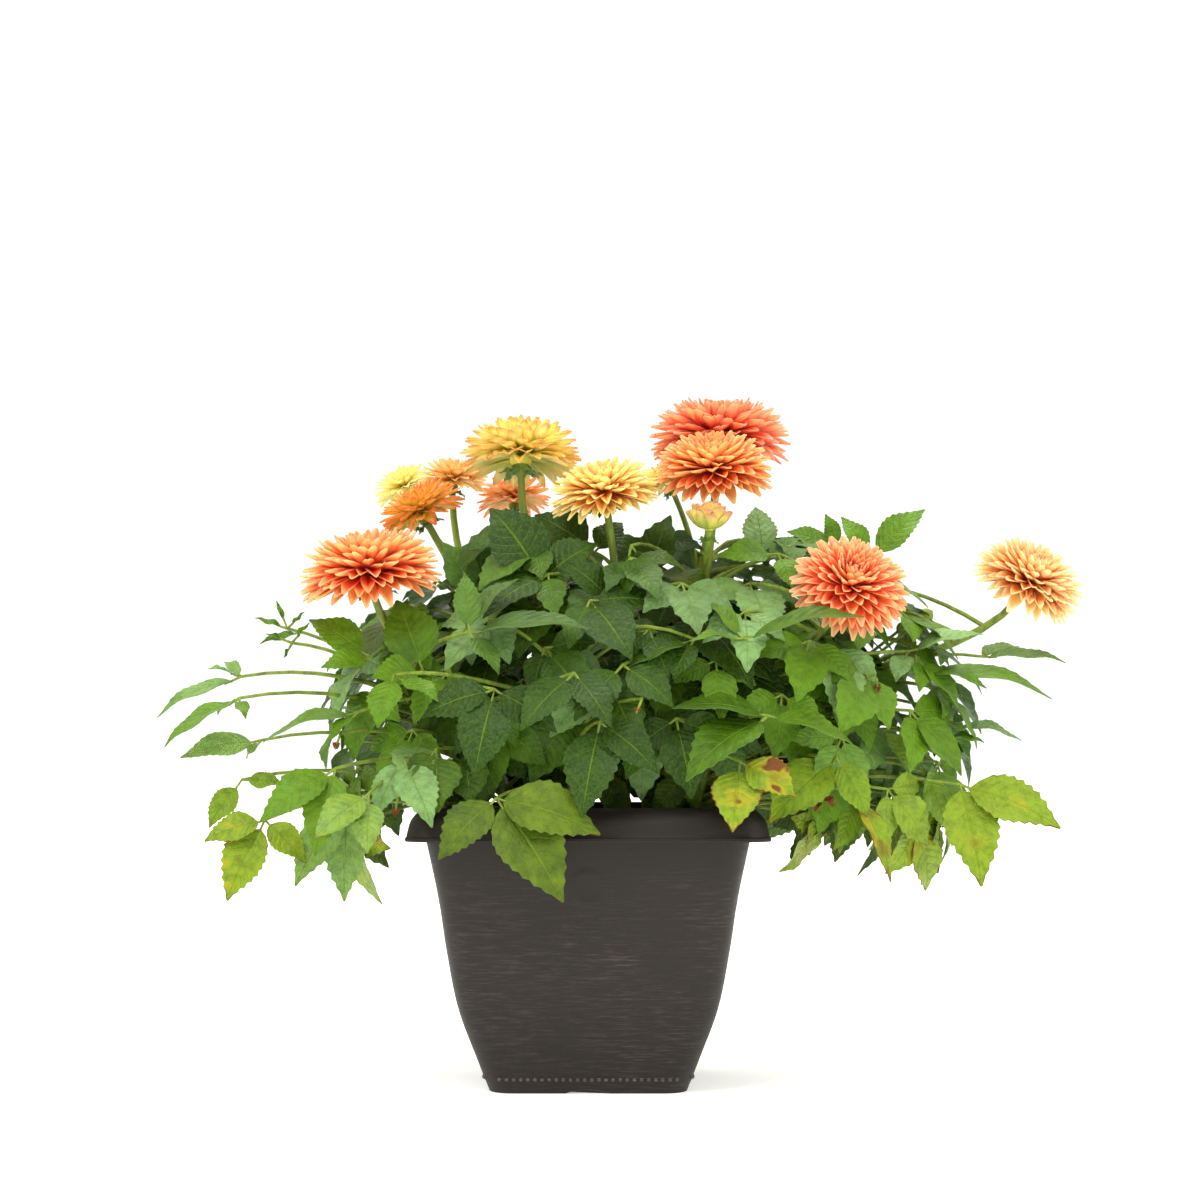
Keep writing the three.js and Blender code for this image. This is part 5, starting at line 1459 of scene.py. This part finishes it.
def head_rays(head):
    """The head's axis and a function that gives its rays by turn and elevation."""
    axis = axis_of(head)
    first = across(AHEAD if abs(axis.z) > NEARLY_UPRIGHT else UP, axis)
    second = axis.cross(first)

    def ray(turn, elevation):
        flat = first * math.cos(turn) + second * math.sin(turn)
        return flat * math.cos(elevation) + axis * math.sin(elevation)

    return axis, ray


# Habit of a head: lowest and highest elevation of its petals, their reach and width, the range of
# their lift at the root, and their curl at the tip, of the inner and then of the outer petals. All
# angles are in degrees.
OPEN = SimpleNamespace(
    elevations=(-14, 86), reach=REACH, width=1.0, lift=(4, 16), curl=(10, -4))
CLOSED = SimpleNamespace(
    elevations=(14, 78), reach=BUD_REACH, width=2.7, lift=(-40, -32), curl=(6, 14))


def petal_width(share):
    """Half width of a petal at a share of its length, as a share of its widest."""
    if share < WIDEST:
        return 0.46 + 0.54 * smooth(share / WIDEST)
    return max(BLUNT_END, 1 - ((share - WIDEST) / (1 - WIDEST)) ** 2.6)


def add_petal(bm, template, middle, head, habit, rays, turn, elevation, length, age, draw, settings):
    """One cupped, pointed petal, from the core outwards."""
    axis, ray = rays
    core = ROOT_IN_CORE * CORE_SHARE * head.radius
    half = habit.width * settings.petal_width * length * between(WIDTH_SPREAD, next(draw))
    cup = settings.petal_cup * between(CUP_SPREAD, next(draw))
    lift = math.radians(between(habit.lift, next(draw)))
    curl = math.radians(between(habit.curl, age) + CURL_SPREAD * (next(draw) - 0.5))
    lean = LEAN * (next(draw) - 0.5)
    shade = next(draw)
    thickness = settings.petal_thickness / MM
    side = across(axis, ray(turn, 0))
    look = bm.verts.layers.float_color["look"]
    for vert in append_template(bm, template):
        aside, share, depth = 2 * vert.co.x, vert.co.y + 0.5, -vert.co.z
        rise = elevation + lift * (1 - share) ** 2 + curl * share**2
        width = half * petal_width(share)
        raised = cup * width * aside * aside * (0.6 + 0.6 * share)
        raised += lean * aside * width - depth * thickness
        along = ray(turn, rise) * (core + (length - core) * share)
        vert.co = middle + along + side * aside * width + ray(turn, rise + math.pi / 2) * raised
        vert[look] = (age, shade, 0, 1)


def make_bloom(head, template, settings):
    """A flower head: petals in a spiral from the outer ones that hang to the inner ones that stand."""
    bm = new_foliage()
    habit = CLOSED if head.name.startswith("bud") else OPEN
    rays = head_rays(head)
    core = CORE_SHARE * head.radius
    middle = Vector(head.seat) + rays[0] * (SEAT_GAP - core * math.sin(SEAT_ELEVATION))
    limits = [math.sin(math.radians(limit)) for limit in habit.elevations]
    draw = draws(sum(map(ord, head.name)))
    bmesh.ops.create_icosphere(bm, subdivisions=2, radius=CORE_FIT * core,
                               matrix=Matrix.Translation(middle))
    for index in range(head.petals):
        inner = index / (head.petals - 1)
        elevation = math.asin(between(limits, inner**INNER_POWER))
        reach = table_value(habit.reach, math.degrees(elevation))
        length = head.radius * reach * between(LENGTH_SPREAD, next(draw))
        elevation += math.radians(TILT_SPREAD) * (next(draw) - 0.5)
        add_petal(bm, template, middle, head, habit, rays, index * GOLDEN_TURN, elevation, length,
                  1 - inner, draw, settings)
    material = petal_material(f"petals of {head.name}", head.tip_from, head.colours)
    make_piece(bm, f"{head.name}_petals", [material], [head.name], crease=60)


def petal_material(name, tip_from, colours):
    """Petal colours from root to tip, with fine lines along the petal, a paler back and outer petals,
    and deeper inner ones."""
    root, body, tip, back = [colour(text) for text in colours]
    material, tree, shader = new_material(name)
    blade = blade_inputs(tree)
    age, shade, _ = blade.look
    face = blend(tree, ramp(tree, blade.share, 0.15, 0.6), root, body)
    rear = blend(tree, ramp(tree, blade.share, 0.25, 0.7), root, back)
    face = blend(tree, blade.under, face, rear)
    face = blend(tree, ramp(tree, age, 0.8, 1.0, 0.0, 0.4), face, back)
    outer = maths(tree, "MULTIPLY_ADD", blade.side, 0.4 * (1 - tip_from), blade.share)
    strength = ramp(tree, shade, 0.0, 0.5, 0.6, 1.0)
    tipped = maths(tree, "MULTIPLY", ramp(tree, outer, tip_from, 1.05), strength)
    face = blend(tree, tipped, face, tip)
    lines = maths(tree, "PINGPONG", maths(tree, "MULTIPLY", blade.across, PETAL_LINES), 0.5)
    face = blend(tree, ramp(tree, lines, 0.0, 0.25, 0.16, 0.0), face, body)
    deep = tuple(0.85 * value for value in body)
    set_inputs(tree, shader, {
        "Base Color": blend(tree, ramp(tree, age, 0.4, 0.0, 0.0, 0.35), face, deep),
        "Roughness": 0.62,
        "Subsurface Weight": 0.6,
        "Subsurface Radius": (1.0, 0.5, 0.25),
        "Subsurface Scale": 0.01,
        "Specular IOR Level": 0.25,
    })
    add_bump(tree, shader, lines, 0.0003, 0.5)
    return material


# Stage

# Lamps in metres: name, place, point that they light, size and power in watts
LAMPS = (
    ("key light", (-0.9, -1.7, 2.3), (0.05, 0, 0.35), 0.9, 24),
    ("fill light", (1.7, -1.6, 1.1), (0.05, 0, 0.35), 1.4, 9),
    ("top light", (0.2, 0.4, 2.2), (0.05, 0, 0.3), 0.9, 20),
)
FLOOR_HALF = 30
SENSOR_WIDTH = 36
FARTHEST = 100


def make_stage(settings):
    """Pale floor and backdrop, soft lights and the camera."""
    bm = bmesh.new()
    bmesh.ops.create_grid(bm, x_segments=1, y_segments=1, size=FLOOR_HALF)
    mesh = bpy.data.meshes.new("floor")
    bm.to_mesh(mesh)
    bm.free()
    material, tree, shader = new_material("pale floor")
    set_inputs(tree, shader, {
        "Base Color": (*settings.floor, 1),
        "Roughness": 0.9,
        "Specular IOR Level": 0,
        "Emission Color": (1, 1, 1, 1),
        "Emission Strength": settings.floor_glow,
    })
    mesh.materials.append(material)
    floor = bpy.data.objects.new("floor", mesh)
    bpy.context.scene.collection.objects.link(floor)
    make_studio_light(settings)
    camera = bpy.data.cameras.new("camera")
    camera.sensor_width = SENSOR_WIDTH
    camera.lens = settings.lens
    camera.clip_end = FARTHEST
    view = bpy.data.objects.new("camera", camera)
    view.location = (settings.camera_x, settings.camera_y, settings.camera_z)
    view.rotation_euler = (math.pi / 2 + settings.camera_pitch, 0, 0)
    bpy.context.scene.collection.objects.link(view)
    bpy.context.scene.camera = view
    bpy.context.scene.view_settings.view_transform = "Standard"


def make_studio_light(settings):
    """Soft light that comes mostly from above, before a white backdrop, and three lamps."""
    world = bpy.data.worlds.new("studio")
    world.use_nodes = True
    tree = world.node_tree
    way = add_node(tree, "ShaderNodeTexCoord").outputs["Generated"]
    height = add_node(tree, "ShaderNodeSeparateXYZ", {0: way}).outputs[2]
    light = ramp(tree, height, 0.0, 0.9, settings.light_below, settings.light_above)
    seen = add_node(tree, "ShaderNodeLightPath").outputs["Is Camera Ray"]
    strength = add_node(tree, "ShaderNodeMix", {0: seen, 2: light, 3: settings.backdrop})
    tint = blend(tree, seen, settings.light_tint, (1, 1, 1))
    set_inputs(tree, tree.nodes["Background"], {"Color": tint, "Strength": strength.outputs[0]})
    bpy.context.scene.world = world
    for lamp in LAMPS:
        add_light(*lamp)


def add_light(name, place, target, size, power):
    """A square soft light that shines at a point."""
    light = bpy.data.lights.new(name, "AREA")
    light.size = size
    light.energy = power
    lamp = bpy.data.objects.new(name, light)
    lamp.location = place
    lamp.rotation_euler = (Vector(target) - Vector(place)).to_track_quat("-Z", "Y").to_euler()
    bpy.context.scene.collection.objects.link(lamp)


# Operators


class DAHLIA_OT_planter(bpy.types.Operator):
    """Model the moulded planter."""
    bl_idname = "dahlia.planter"
    bl_label = "Planter"

    def execute(self, context):
        make_planter(context.scene.dahlia_planter)
        return {"FINISHED"}


class DAHLIA_OT_soil(bpy.types.Operator):
    """Fill the planter with potting mix."""
    bl_idname = "dahlia.soil"
    bl_label = "Potting mix"

    def execute(self, context):
        make_soil(context.scene.dahlia_soil)
        return {"FINISHED"}


class DAHLIA_OT_foliage(bpy.types.Operator):
    """Grow the leafy stems."""
    bl_idname = "dahlia.foliage"
    bl_label = "Leafy stems"

    def execute(self, context):
        settings = context.scene.dahlia_foliage
        leaves = packed_leaves()
        if len(leaves) < len(LEAVES):
            raise RuntimeError("The packed stems don't hold the leaves that this script lists.")
        leaves += added_leaves()
        templates = {grid: shell_template(grid) for grid in (LEAFLET_GRID, CROWN_GRID)}
        materials = [leaf_material(settings), stalk_material(settings)]
        for index in range(len(STEMS)):
            own = [leaf for leaf in leaves if leaf.stem == index]
            make_leafy_stem(index, own, templates, materials, settings)
        return {"FINISHED"}


class DAHLIA_OT_blooms(bpy.types.Operator):
    """Open the flower heads."""
    bl_idname = "dahlia.blooms"
    bl_label = "Flower heads"

    def execute(self, context):
        template = shell_template(PETAL_GRID)
        for head in HEADS:
            make_bloom(head, template, context.scene.dahlia_blooms)
        return {"FINISHED"}


class DAHLIA_OT_stage(bpy.types.Operator):
    """Set up floor, lights and camera."""
    bl_idname = "dahlia.stage"
    bl_label = "Stage"

    def execute(self, context):
        make_stage(context.scene.dahlia_stage)
        return {"FINISHED"}


class DAHLIA_PT_panel(bpy.types.Panel):
    """Lists the pieces of the plant and its stage."""
    bl_idname = "DAHLIA_PT_panel"
    bl_label = "Potted dahlia"
    bl_space_type = "VIEW_3D"
    bl_region_type = "UI"
    bl_category = "Dahlia"

    def draw(self, context):
        for operator in OPERATORS:
            self.layout.operator(operator.bl_idname)


GROUPS = {
    "dahlia_planter": PlanterSettings,
    "dahlia_soil": SoilSettings,
    "dahlia_foliage": FoliageSettings,
    "dahlia_blooms": BloomSettings,
    "dahlia_stage": StageSettings,
}
OPERATORS = (
    DAHLIA_OT_stage, DAHLIA_OT_planter, DAHLIA_OT_soil, DAHLIA_OT_foliage, DAHLIA_OT_blooms,
)
CLASSES = (*GROUPS.values(), *OPERATORS, DAHLIA_PT_panel)


def register():
    """Registers the classes and hangs the settings on the scene."""
    for item in CLASSES:
        bpy.utils.register_class(item)
    for name, group in GROUPS.items():
        setattr(bpy.types.Scene, name, PointerProperty(type=group))


def unregister():
    """Takes away what register added."""
    for name in GROUPS:
        delattr(bpy.types.Scene, name)
    for item in reversed(CLASSES):
        bpy.utils.unregister_class(item)


def main():
    """Makes every piece and the stage."""
    register()
    for operator in OPERATORS:
        group, name = operator.bl_idname.split(".")
        getattr(getattr(bpy.ops, group), name)()


if __name__ == "__main__":
    main()
